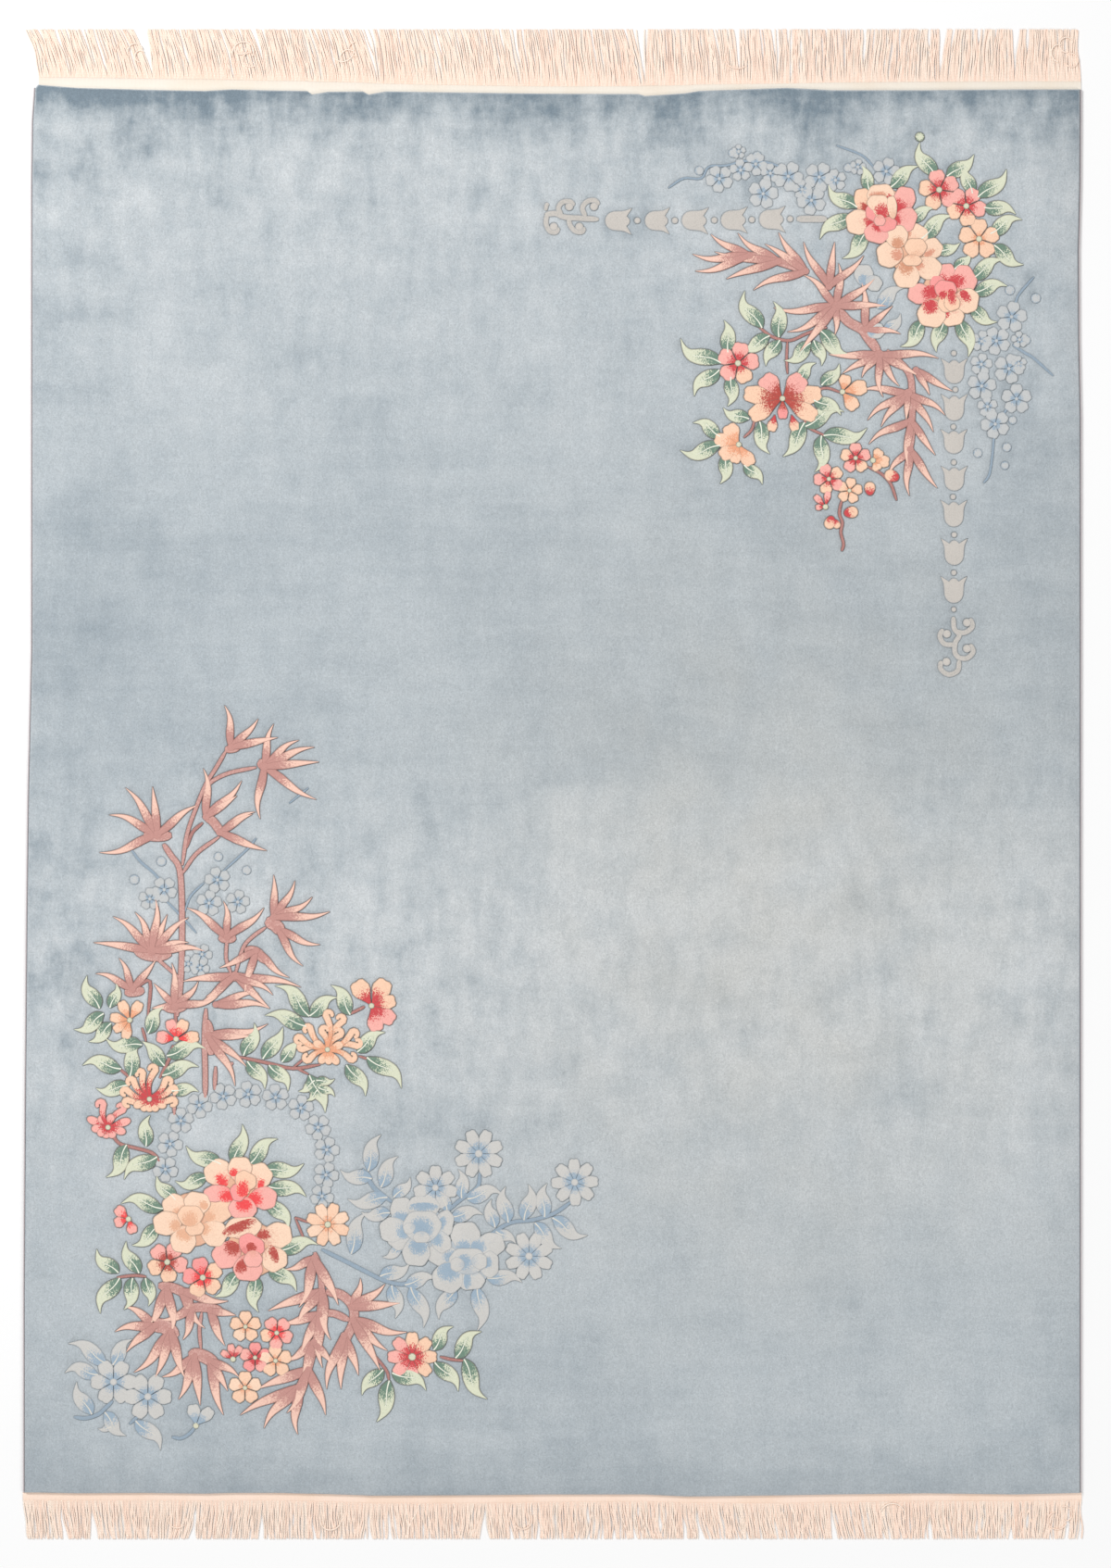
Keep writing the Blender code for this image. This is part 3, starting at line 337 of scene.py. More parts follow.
# Flowers seen from the side or with uneven petals: heart x and y, yarn at the heart, then each petal's yarn,
# tip x and y, and width.
UNEVEN_FLOWERS = (
    (59.5, 99.6, BRICK, ((PINK, 54.3, 105.4, 6.4), (PINK, 65.0, 105.4, 6.4), (PEACH, 49.4, 101.0, 5.6),
                         (PEACH, 69.8, 101.0, 5.6), (PEACH, 51.0, 94.6, 5.4), (PEACH, 68.4, 94.6, 5.4),
                         (SALMON, 59.6, 94.2, 3.2))),
    (57.6, 95.6, CRIMSON, ((PEACH, 56.5, 91.0, 3.2),)),
    (61.8, 95.6, CRIMSON, ((PEACH, 63.0, 91.0, 3.2),)),
    (48.2, 87.7, ORANGE, ((PEACH, 45.3, 92.9, 5.2), (PEACH, 41.8, 89.4, 4.4), (PEACH, 43.4, 84.4, 4.6),
                          (PEACH, 51.6, 82.2, 4.4), (PEACH, 47.0, 82.8, 3.6))),
    (75.0, 101.3, ORANGE, ((PEACH, 76.0, 105.8, 3.8), (PEACH, 81.4, 102.9, 4.8), (PEACH, 78.6, 96.8, 4.4))),
    (82.9, 83.6, ORANGE, ((PEACH, 85.0, 86.4, 3.4), (PEACH, 87.2, 83.2, 3.8), (PEACH, 84.4, 81.0, 3.2))),
    (-109.2, -61.0, ORANGE, ((PEACH, -111.6, -56.0, 3.4), (PEACH, -106.4, -56.2, 3.4),
                             (PEACH, -114.4, -60.2, 3.2), (PEACH, -113.4, -63.8, 3.0),
                             (PEACH, -110.4, -66.0, 3.2))),
    (-97.2, -65.9, RED, ((PINK, -99.0, -60.8, 3.6), (PEACH, -94.8, -60.9, 3.8), (PINK, -102.4, -65.2, 4.0),
                         (PEACH, -91.2, -65.2, 3.8))),
    (-109.5, -112.4, RED, ((PINK, -112.8, -109.4, 3.6), (PINK, -113.2, -113.6, 3.4),
                           (PINK, -108.2, -116.2, 3.4))),
    (-46.7, -57.3, CRIMSON, ((PEACH, -50.9, -50.9, 5.8), (PEACH, -42.8, -50.6, 5.8),
                             (PEACH, -40.4, -55.8, 4.4), (PINK, -40.8, -61.4, 5.0),
                             (PINK, -45.2, -64.0, 5.0))),
    (-82.5, -148.6, CRIMSON, ((PINK, -85.6, -146.6, 2.2), (PINK, -83.2, -144.6, 2.4),
                              (PINK, -80.4, -145.2, 2.2))),
    (70.6, 71.6, CRIMSON, ((PINK, 67.8, 74.6, 2.2), (PINK, 71.4, 75.8, 2.2), (PINK, 68.0, 71.4, 2.0))),
)

# Curled flowers: heart x and y, yarns at the heart and at the tips, then each petal's direction, reach and
# curl. A petal with no curl is plain and rounded.
CURLED_FLOWERS = (
    (-104.1, -81.4, CRIMSON, PEACH, (
        (157, 7.4, 1.5), (27, 7.4, -1.5), (182, 6.6, 1.5), (0, 6.8, -1.5), (206, 4.6, 0), (238, 3.7, 0),
        (270, 3.4, 0), (303, 3.8, 0), (335, 4.8, 0), (78, 8.6, 1.5), (104, 7.8, 1.5), (130, 7.4, 1.5),
        (50, 7.4, -1.5),
    )),
    (-114.8, -88.7, CRIMSON, PINK, (
        (156, 6.0, 0), (18, 6.2, 0), (186, 4.4, 0), (344, 4.8, 0), (218, 3.4, 0), (254, 3.0, 0),
        (300, 3.2, 0), (128, 3.8, 0), (74, 3.6, 0), (101, 7.0, 1.5), (49, 6.8, 1.5),
    )),
    (-58.1, -68.6, ORANGE, PEACH, (
        (242, 4.2, 0), (276, 4.0, 0), (306, 4.8, 0), (20, 4.4, 0), (150, 4.2, 0), (180, 7.4, -1.5),
        (6, 8.8, 1.5), (210, 6.4, -1.5), (336, 7.4, 1.5), (93, 9.8, -1.5), (61, 9.4, 1.5), (128, 8.2, 1.5),
        (155, 8.6, 1.5), (36, 8.8, -1.5), (108, 5.8, -1.5), (48, 6.0, 1.5),
    )),
)
CURLED_HALF_WIDTH = 0.8
CURL_RADIUS = 0.85
CURL_OVERHANG = 0.9
# The radius of a flower's button as a share of the flower's.
BUTTON_SHARE = 0.16

# Broad leaves, from the stalk to the point: x, y, x, y, bend.
LEAVES = (
    (82.0, 153.2, 80.0, 159.8, -0.06), (87.5, 154.2, 94.6, 159.6, 0.08), (78.8, 149.0, 71.4, 154.8, 0.12),
    (77.5, 147.0, 69.2, 140.8, -0.1), (81.5, 143.0, 75.0, 135.8, 0.1), (92.6, 145.6, 98.8, 148.8, 0.08),
    (95.4, 140.9, 103.6, 146.8, 0.1), (99.4, 137.2, 105.4, 139.8, -0.06), (99.0, 157.0, 95.0, 165.8, 0.12),
    (102.0, 157.0, 109.0, 162.6, -0.08), (108.6, 152.6, 107.2, 160.0, 0.1),
    (110.0, 151.6, 117.4, 158.8, -0.1), (111.6, 149.0, 119.8, 147.2, 0.1),
    (113.2, 142.2, 121.4, 145.8, 0.12), (114.2, 139.2, 121.8, 134.2, -0.1),
    (108.6, 130.6, 116.6, 135.4, 0.1), (104.0, 133.0, 108.2, 137.4, -0.08),
    (109.0, 127.0, 117.6, 128.6, 0.1), (108.0, 123.0, 114.9, 119.4, -0.1), (95.9, 119.6, 90.0, 113.0, 0.12),
    (101.2, 119.6, 99.3, 111.6, -0.08), (105.2, 120.2, 107.5, 110.4, 0.1), (43.6, 108.8, 33.2, 115.1, 0.14),
    (45.4, 111.5, 44.4, 119.8, -0.08), (43.2, 107.0, 36.7, 100.2, -0.12), (46.2, 105.2, 45.3, 97.6, 0.1),
    (54.2, 117.8, 49.8, 127.4, 0.14), (58.6, 115.4, 57.2, 124.6, -0.1), (56.2, 115.8, 48.4, 112.5, 0.1),
    (58.8, 114.7, 55.2, 108.0, -0.08), (66.8, 114.0, 60.0, 109.4, 0.12), (67.6, 114.6, 69.6, 108.1, 0.1),
    (69.2, 117.2, 77.4, 111.0, -0.12), (63.5, 104.0, 68.2, 108.8, 0.1), (69.6, 103.0, 74.2, 108.6, -0.1),
    (67.6, 99.2, 74.6, 95.3, 0.1), (65.2, 92.3, 75.4, 96.2, 0.12), (70.1, 90.0, 81.4, 92.0, -0.12),
    (69.6, 90.0, 67.9, 80.6, 0.12), (65.2, 93.4, 59.6, 84.6, 0.08), (53.6, 93.6, 56.2, 85.3, -0.1),
    (50.9, 94.3, 44.2, 97.2, 0.1), (43.4, 89.8, 36.4, 93.3, -0.12), (43.4, 87.5, 33.1, 86.2, 0.12),
    (45.0, 85.0, 43.4, 77.6, 0.1), (49.6, 82.4, 54.3, 77.4, 0.1), (-117.0, -58.0, -120.2, -49.5, 0.12),
    (-114.3, -57.8, -112.7, -51.5, -0.1), (-115.9, -59.3, -123.6, -63.4, 0.12),
    (-114.0, -61.8, -119.8, -66.6, 0.1), (-104.5, -64.4, -100.4, -57.6, 0.1),
    (-106.0, -67.4, -115.4, -65.7, 0.12), (-100.2, -72.8, -106.0, -66.5, -0.05),
    (-99.6, -70.2, -89.6, -68.4, 0.12), (-109.2, -75.6, -106.3, -66.7, 0.1),
    (-111.4, -73.6, -121.4, -72.7, -0.12), (-109.6, -77.8, -117.9, -78.6, 0.1),
    (-100.8, -75.3, -91.4, -73.1, 0.1), (-98.4, -79.2, -91.4, -79.5, 0.08),
    (-105.0, -93.6, -103.9, -85.6, 0.1), (-110.0, -93.2, -115.3, -101.6, 0.12),
    (-102.1, -96.3, -110.6, -102.1, -0.12), (-62.8, -60.0, -71.6, -52.2, -0.12),
    (-63.6, -62.6, -74.2, -59.8, -0.08), (-62.7, -59.9, -55.5, -55.2, 0.1),
    (-52.2, -59.6, -57.2, -52.0, -0.1), (-79.8, -70.2, -77.0, -61.8, -0.1),
    (-74.8, -71.0, -69.6, -62.8, -0.05), (-69.9, -71.8, -65.3, -66.4, 0.04),
    (-78.8, -71.6, -74.3, -78.8, 0.1), (-73.2, -72.6, -68.3, -79.3, 0.12),
    (-50.4, -69.2, -43.2, -64.2, 0.1), (-47.9, -70.6, -39.0, -78.6, 0.12),
    (-53.2, -72.6, -48.3, -80.6, 0.1), (-85.6, -98.2, -94.6, -93.6, 0.1),
    (-82.6, -98.0, -80.1, -88.0, -0.08), (-78.2, -98.2, -71.0, -91.7, 0.1),
    (-74.4, -99.8, -64.2, -98.1, -0.1), (-73.4, -104.0, -63.6, -106.6, 0.1),
    (-73.6, -107.6, -68.3, -115.2, 0.12), (-89.1, -101.6, -97.4, -102.6, 0.12),
    (-97.4, -107.4, -102.2, -101.2, 0.1), (-100.6, -109.7, -111.4, -108.4, -0.12),
    (-101.6, -114.0, -108.6, -119.2, 0.1), (-70.4, -120.5, -60.6, -119.0, 0.1),
    (-73.2, -125.0, -66.1, -131.1, 0.1), (-76.7, -127.2, -75.9, -136.4, -0.1),
    (-81.1, -126.3, -87.3, -132.5, 0.1), (-112.1, -126.3, -117.7, -120.2, 0.12),
    (-106.8, -126.4, -110.1, -118.2, 0.1), (-111.8, -127.6, -116.8, -136.8, -0.12),
    (-108.4, -127.6, -110.7, -135.8, 0.1), (-105.1, -127.6, -104.4, -134.9, 0.1),
    (-30.6, -146.2, -25.6, -140.2, 0.12), (-25.0, -148.3, -18.3, -141.5, 0.12),
    (-22.8, -148.6, -16.8, -158.9, -0.1), (-30.4, -149.4, -24.3, -156.9, 0.1),
    (-43.7, -151.3, -49.2, -157.9, -0.08), (-42.1, -154.1, -45.4, -164.8, 0.08),
    (-41.4, -152.1, -32.6, -156.7, 0.12), (-61.4, -76.6, -65.6, -79.4, 0.1),
    (-60.6, -79.0, -63.6, -81.8, 0.1), (-61.0, -76.6, -56.2, -76.2, -0.1),
    (-60.4, -78.4, -56.2, -80.8, 0.1), (-62.8, -75.2, -58.7, -84.9, 0.06),
)
# Half of a leaf's width as a share of its length, how far its vein reaches along it, and the vein's rise.
LEAF_WIDTH = 0.225
VEIN_REACH = 0.66
VEIN_RISE = 0.35 * MM

# Bamboo sprays: x and y of the joint, then the tips of the blades that spring from it.
SPRAYS = (
    (51.0, 136.5, ((41.0, 142.0), (36.3, 136.9), (37.0, 132.5))),
    (58.5, 135.0, ((48.0, 142.3), (42.0, 137.5), (45.0, 130.5))),
    (65.5, 132.5, ((58.5, 142.5), (55.0, 139.5), (52.0, 127.6))),
    (71.5, 128.5, ((65.0, 140.0), (73.0, 140.0), (80.5, 136.5))),
    (73.5, 123.5, ((65.0, 131.5), (74.0, 134.5), (83.3, 130.5), (86.3, 123.5), (57.3, 123.0), (60.8, 116.8),
                   (73.0, 116.0), (64.0, 111.8))),
    (81.0, 117.5, ((80.0, 129.5), (88.0, 123.5), (90.0, 116.3))),
    (84.5, 111.0, ((71.5, 111.0), (75.0, 106.0), (80.0, 105.0), (85.5, 100.0), (89.7, 102.8), (95.0, 105.3),
                   (99.8, 110.0))),
    (94.0, 107.0, ((103.5, 101.5), (97.5, 100.5))),
    (92.0, 101.0, ((80.0, 101.8), (81.5, 94.0), (85.0, 92.3), (91.5, 94.0), (98.5, 91.0), (101.5, 95.3))),
    (92.7, 94.0, ((81.8, 87.8), (92.0, 82.0), (99.0, 85.0))),
    (92.5, 86.5, ((87.0, 80.0), (92.3, 74.5), (99.5, 76.5))),
    (-83.0, 9.5, ((-84.7, 20.3), (-76.0, 16.8), (-71.0, 12.0))),
    (-74.5, 4.5, ((-72.0, 15.5), (-65.5, 11.3), (-61.5, 9.5), (-60.3, 5.7), (-61.0, -4.0), (-75.5, -9.0))),
    (-89.5, -8.5, ((-90.2, 4.0), (-80.3, 0.8), (-81.5, -3.0))),
    (-86.0, -12.5, ((-76.8, -7.2), (-77.5, -7.8), (-73.8, -17.2))),
    (-102.0, -13.0, ((-114.5, -8.0), (-110.3, -1.0), (-103.3, -0.7), (-91.7, -5.5), (-117.0, -17.7))),
    (-103.5, -43.0, ((-118.5, -41.0), (-113.5, -34.3), (-107.8, -33.2), (-102.5, -29.8), (-99.5, -33.7),
                     (-94.0, -34.5), (-94.0, -41.0), (-89.8, -43.2))),
    (-84.0, -39.5, ((-94.5, -32.0), (-85.0, -30.3), (-74.5, -32.0))),
    (-72.0, -34.5, ((-72.0, -23.5), (-66.5, -25.0), (-62.0, -29.2), (-57.5, -33.0))),
    (-71.0, -37.5, ((-60.0, -41.5), (-64.5, -47.0))),
    (-76.5, -43.0, ((-68.0, -50.0), (-79.5, -54.0), (-86.0, -47.5))),
    (-82.0, -49.5, ((-95.5, -51.0), (-89.5, -55.0), (-93.0, -57.5), (-72.2, -54.5), (-65.0, -52.5),
                    (-73.0, -58.0))),
    (-108.5, -53.0, ((-118.0, -49.0), (-112.0, -45.0), (-102.5, -45.5))),
    (-97.5, -57.5, ((-103.0, -51.5), (-98.3, -46.3), (-91.5, -51.0), (-86.5, -55.0), (-103.5, -58.0))),
    (-87.0, -57.0, ((-76.0, -54.0), (-73.0, -58.0))),
    (-89.0, -65.0, ((-73.5, -62.0), (-77.5, -65.0), (-79.0, -73.0), (-82.0, -78.0))),
)
# Sprays of broader blades that hang in the lower corner, with the same columns.
HANGING_SPRAYS = (
    (-99.5, -130.2, ((-105.2, -141.0), (-98.5, -142.0))),
    (-96.0, -131.0, ((-89.8, -140.6), (-83.8, -133.6))),
    (-93.0, -135.8, ((-101.0, -138.4), (-95.5, -143.6))),
    (-88.5, -136.0, ((-84.6, -145.1), (-81.8, -137.3))),
    (-102.5, -139.8, ((-110.5, -135.0), (-113.0, -141.5), (-110.1, -146.8))),
    (-98.5, -141.5, ((-108.1, -152.0), (-102.6, -153.2), (-95.0, -153.4))),
    (-92.5, -148.0, ((-100.8, -153.2), (-96.6, -159.0), (-91.0, -160.5))),
    (-88.5, -148.8, ((-85.0, -163.0), (-83.9, -156.8), (-81.0, -153.2))),
    (-61.5, -122.5, ((-69.0, -125.4), (-65.5, -135.2), (-55.3, -134.6))),
    (-59.5, -131.0, ((-73.4, -136.1), (-65.8, -139.5), (-57.3, -143.6))),
    (-51.8, -135.2, ((-49.6, -127.7), (-43.2, -129.2), (-39.4, -134.1))),
    (-51.5, -138.5, ((-37.6, -141.6), (-42.6, -146.4), (-44.5, -151.5))),
    (-53.8, -142.5, ((-50.1, -152.8), (-54.6, -156.3), (-58.3, -156.3))),
    (-60.2, -137.0, ((-70.0, -139.4), (-65.0, -147.2), (-59.4, -150.8))),
    (-61.6, -144.2, ((-69.0, -149.0), (-66.0, -155.0), (-57.0, -150.0))),
    (-63.0, -151.3, ((-76.2, -156.3), (-58.6, -163.0), (-68.6, -162.5))),
    (-65.5, -155.8, ((-80.6, -163.0), (-74.5, -166.4), (-65.8, -168.0))),
)
# Half of the width of a long blade.
BLADE_HALF_WIDTH = 1.06
HANGING_HALF_WIDTH = 1.3

# The width of a path at its end, one step in and further on, as shares of the full width.
ROUNDED_END = (0.5, 0.88, 1.0)

# Pale trunks of the bamboo: half width, then the points they pass through.
TRUNKS = (
    (0.8, ((-100.5, -15.5), (-98.5, -18.5), (-96.5, -21.5), (-95.8, -28.0), (-95.7, -40.0), (-96.0, -50.0),
           (-97.0, -60.0))),
    (0.55, ((-95.5, -23.0), (-92.0, -18.0), (-86.0, -13.6))),
    (0.55, ((-84.3, 8.6), (-87.0, 4.0), (-89.5, 0.0), (-92.0, -6.0), (-94.4, -13.0), (-95.6, -21.0))),
    (0.55, ((-76.5, 4.3), (-83.0, 3.0), (-87.0, 1.3), (-89.3, -0.5))),
    (0.5, ((-84.0, -39.5), (-84.3, -45.0), (-83.0, -49.0))),
    (0.5, ((-74.0, -37.0), (-77.5, -39.5), (-80.0, -42.5), (-82.0, -49.5))),
    (0.5, ((-104.0, -43.5), (-100.0, -47.0), (-96.5, -50.0))),
    (0.75, ((-89.5, -58.0), (-89.9, -66.0), (-89.7, -74.0), (-89.7, -81.0))),
    (0.6, ((-87.0, -73.0), (-87.3, -79.0))),
    (0.5, ((-84.0, -73.0), (-82.5, -72.0))),
    (0.55, ((-97.7, -80.0), (-97.7, -85.5))),
)
# Broad limbs of the bamboo, with the same columns.
LIMBS = (
    (1.1, ((48.0, 136.9), (52.0, 136.3), (58.5, 135.0), (65.5, 132.5))),
    (1.3, ((74.0, 122.5), (76.5, 119.5), (80.0, 117.5), (81.5, 115.5), (84.5, 111.5))),
    (0.9, ((86.5, 112.0), (92.0, 106.5), (93.0, 101.0), (93.0, 94.0), (92.8, 86.5))),
    (0.85, ((-61.4, -121.0), (-60.0, -126.0), (-59.6, -131.0), (-60.2, -137.0), (-61.2, -144.0),
            (-63.0, -151.5), (-65.3, -156.0))),
    (1.25, ((-58.5, -131.2), (-54.5, -132.0), (-51.6, -135.0), (-51.4, -139.0), (-53.4, -143.5),
            (-54.6, -147.0))),
    (1.0, ((-60.0, -136.8), (-56.5, -136.8), (-52.5, -138.5))),
    (1.3, ((-101.8, -129.6), (-98.0, -130.2), (-95.0, -131.8), (-93.5, -135.0))),
    (1.25, ((-96.0, -136.6), (-92.5, -135.3), (-88.5, -135.4), (-85.3, -136.2))),
    (1.9, ((-103.6, -139.9), (-100.2, -140.2), (-97.0, -143.0))),
    (0.5, ((-90.6, -136.5), (-91.2, -141.0), (-90.8, -146.0))),
    (1.7, ((-94.0, -147.6), (-90.8, -147.6), (-86.6, -149.8))),
    (1.7, ((-108.0, -42.6), (-103.5, -44.2), (-98.5, -43.6))),
    (1.2, ((-86.2, -39.6), (-84.0, -40.0), (-81.8, -39.6))),
    (1.7, ((-74.0, -35.2), (-71.5, -36.5), (-70.0, -38.4))),
    (1.3, ((-79.5, -43.0), (-76.5, -43.4), (-74.0, -46.0))),
    (1.2, ((-87.0, -50.2), (-82.0, -49.8), (-77.5, -50.6))),
    (1.2, ((-110.5, -53.8), (-108.0, -53.8), (-105.5, -53.2))),
    (1.3, ((-100.6, -57.4), (-97.5, -58.0), (-94.4, -57.0))),
    (1.3, ((-89.3, -61.0), (-88.6, -65.0), (-88.2, -70.0))),
    (1.0, ((-84.6, 9.0), (-82.8, 9.0), (-80.8, 9.6))),
    (1.4, ((-76.0, 5.8), (-74.0, 4.6), (-71.5, 3.4))),
    (1.2, ((-90.0, -8.0), (-87.6, -9.8), (-85.2, -13.2))),
    (1.3, ((-105.6, -13.2), (-102.0, -13.6), (-98.4, -13.2))),
)
# Twigs of the bouquets, with the same columns.
TWIGS = (
    (0.4, ((74.9, 73.5), (74.2, 70.0), (75.0, 67.5), (74.6, 65.0), (75.3, 62.0), (74.8, 60.2))),
    (0.4, ((81.5, 82.0), (85.0, 80.2), (87.5, 77.5), (89.0, 73.3))),
    (0.4, ((53.5, 118.0), (57.0, 115.5), (61.5, 114.6), (66.0, 116.5), (71.0, 118.0))),
    (0.35, ((60.8, 114.5), (60.6, 110.0), (60.8, 106.0))),
    (0.35, ((67.5, 101.5), (71.0, 102.3), (75.0, 101.0))),
    (0.35, ((65.0, 94.5), (66.5, 92.0), (71.0, 89.8))),
    (0.35, ((52.3, 94.0), (51.5, 91.5), (49.5, 89.5))),
    (0.45, ((-94.5, -16.5), (-93.0, -12.5), (-90.3, -10.0))),
    (0.45, ((-108.0, -53.0), (-104.0, -51.0), (-104.5, -60.0))),
    (0.45, ((-97.5, -57.5), (-97.2, -63.0))),
    (0.45, ((-114.3, -89.5), (-112.0, -92.8), (-108.0, -94.0), (-103.5, -95.3), (-101.5, -97.5))),
    (0.4, ((-106.0, -63.0), (-105.0, -66.5))),
    (0.45, ((-98.0, -67.5), (-99.0, -71.0), (-101.5, -76.0))),
    (0.4, ((-112.0, -73.5), (-109.0, -76.0))),
    (0.45, ((-81.0, -70.5), (-74.0, -72.0), (-67.0, -73.5), (-60.0, -72.5))),
    (0.35, ((-67.0, -73.3), (-63.5, -70.5))),
    (0.35, ((-66.0, -73.5), (-63.0, -75.0))),
    (0.4, ((-52.5, -59.5), (-50.0, -58.3), (-48.5, -57.5))),
    (0.35, ((-50.0, -70.3), (-47.0, -71.3))),
    (0.4, ((-112.5, -127.5), (-108.0, -127.0), (-105.0, -127.3))),
    (0.35, ((-66.5, -112.0), (-63.0, -113.3))),
    (0.35, ((-66.5, -112.0), (-64.0, -118.0))),
    (0.4, ((-48.7, -144.8), (-43.2, -151.0), (-42.2, -154.0))),
    (0.4, ((-29.0, -148.0), (-26.0, -148.7), (-23.0, -149.0))),
)

# Buds of the bouquets: x, y, radius, direction of the tip.
BUDS = (
    (87.8, 79.6, 2.0, 160), (82.1, 76.3, 1.8, 90), (77.2, 70.2, 1.9, 10), (71.8, 67.6, 1.8, 250),
    (73.4, 67.2, 1.3, 300),
)

# A pale green bud beyond the top leaf: x, y, radius.
LOOSE_BUD = (95.0, 167.2, 1.25)

# The cream ornament. Bells, from the mouth to the closed end: x, y, x, y.
BELLS = (
    (20.6, 145.4, 13.6, 145.6), (30.4, 145.5, 23.9, 145.6), (40.4, 145.5, 33.4, 145.7),
    (50.5, 145.7, 43.5, 145.7), (60.3, 145.9, 53.4, 145.9), (103.9, 110.0, 103.9, 103.4),
    (103.9, 100.8, 103.9, 93.8), (103.8, 91.7, 103.8, 85.3), (103.9, 82.2, 103.9, 75.7),
    (103.8, 73.4, 103.8, 66.4), (103.9, 63.5, 103.9, 56.5), (103.8, 53.7, 103.8, 46.7),
)
# One side of a bell, from the notch in its mouth round the flared corner to its closed end: share of the
# length, half width.
BELL_SHAPE = (
    (0.07, 0.0), (0.09, 0.6), (0.19, 1.35), (0.1, 2.3), (0.0, 3.5), (0.13, 3.1), (0.25, 2.75), (0.38, 2.6),
    (0.54, 2.55), (0.7, 2.45), (0.83, 2.1), (0.92, 1.55), (0.98, 0.8), (1.0, 0.0),
)
BELL_MIDDLE = 0.44
# Beads: x, y, radius.
BEADS = (
    (22.0, 145.6, 0.85), (31.7, 145.6, 0.85), (41.9, 145.7, 0.85), (51.6, 145.8, 0.85), (61.5, 146.0, 0.85),
    (103.8, 111.3, 0.75), (104.2, 101.9, 0.75), (103.7, 92.3, 0.75), (103.8, 83.1, 0.75),
    (103.6, 74.2, 0.75), (103.9, 64.4, 0.75), (103.8, 54.6, 0.75), (103.8, 45.1, 0.7), (4.4, 149.2, 1.1),
    (10.8, 149.2, 1.1), (0.4, 144.0, 1.1), (7.0, 144.0, 1.1), (107.2, 41.7, 1.1), (102.0, 38.8, 1.1),
    (107.2, 35.0, 1.1), (101.9, 31.6, 1.1),
)
# Scrolls and bars: half width, then the points they pass through.
SCROLLS = (
    (0.91, ((63.2, 146.0), (67.0, 146.0), (71.0, 146.0))),
    (0.77, ((-1.9, 147.1), (0.8, 147.4), (3.1, 146.5), (7.0, 146.2), (12.0, 145.9))),
    (0.7, ((2.4, 147.0), (1.6, 148.8), (2.6, 150.3), (4.6, 150.5), (5.6, 149.4))),
    (0.7, ((8.6, 146.6), (7.8, 148.8), (9.0, 150.5), (11.0, 150.8), (12.0, 149.6))),
    (0.7, ((-1.4, 147.2), (-1.6, 144.8), (-0.7, 142.9), (0.9, 142.6), (1.6, 143.8))),
    (0.7, ((4.3, 146.2), (4.6, 144.4), (5.9, 142.9), (7.7, 142.7), (8.2, 143.9))),
    (0.56, ((-1.7, 148.2), (-1.5, 149.4), (-1.1, 150.1))),
    (0.7, ((103.7, 43.2), (103.9, 40.2), (105.2, 38.5), (104.2, 36.5), (104.1, 33.9), (105.5, 32.2))),
    (0.7, ((104.2, 39.4), (106.6, 39.1), (108.6, 40.7), (108.0, 42.8))),
    (0.7, ((104.2, 36.0), (101.4, 36.2), (100.2, 38.2), (101.0, 40.0))),
    (0.7, ((104.8, 32.6), (107.2, 32.5), (108.8, 34.2), (108.0, 36.1))),
    (0.7, ((105.2, 32.0), (104.8, 29.3), (102.4, 28.3), (100.4, 29.8), (100.5, 31.8))),
)

# The low blue-grey pattern. Five-petalled blossoms: x, y, radius.
BLUE_BLOSSOMS = (
    (43.2, 156.4, 3.2), (48.7, 158.6, 2.6), (52.6, 160.2, 2.7), (56.4, 157.8, 2.3), (64.6, 153.6, 2.3),
    (73.2, 156.0, 2.6), (79.0, 159.4, 1.9), (48.2, 163.4, 1.7), (111.0, 114.4, 2.5), (120.8, 114.8, 2.0),
    (110.9, 108.4, 2.6), (120.6, 108.6, 1.9), (54.5, 152.5, 3.5), (61.0, 157.0, 3.5), (69.0, 156.8, 3.5),
    (67.0, 150.8, 3.4), (86.3, 158.3, 3.2), (118.7, 120.7, 3.6), (114.8, 114.5, 3.3), (118.0, 107.3, 3.5),
    (111.0, 102.8, 3.4), (120.0, 99.5, 3.5), (114.5, 93.0, 3.4), (112.5, 97.5, 2.4), (-100.3, -27.3, 3.0),
    (-104.0, -29.7, 2.6), (-86.5, -24.8, 3.0), (-88.7, -30.8, 3.0), (-81.3, -30.5, 2.8),
    (-90.5, -44.0, 2.4), (-91.0, -47.5, 2.2), (-94.0, -46.5, 2.0), (-100.0, -99.5, 3.0),
    (-98.8, -93.0, 3.0), (-96.0, -87.0, 3.0), (-91.2, -83.0, 3.0), (-85.0, -80.7, 3.1), (-78.5, -80.2, 3.1),
    (-71.5, -81.0, 3.1), (-65.0, -83.7, 3.0), (-60.5, -88.7, 3.0), (-58.3, -94.5, 3.0),
    (-58.5, -101.0, 3.0), (-59.5, -106.5, 2.8),
)
# Fuller blue flowers: x, y, radius, petals, first petal's direction.
BLUE_FLOWERS = (
    (-19.0, -95.5, 6.5, 8, 22), (5.8, -102.9, 6.2, 8, 92), (-6.0, -122.0, 6.4, 8, 22),
    (-30.2, -104.3, 5.8, 7, 90), (-113.4, -154.5, 6.0, 6, 60), (-104.5, -158.3, 6.2, 6, 60),
)
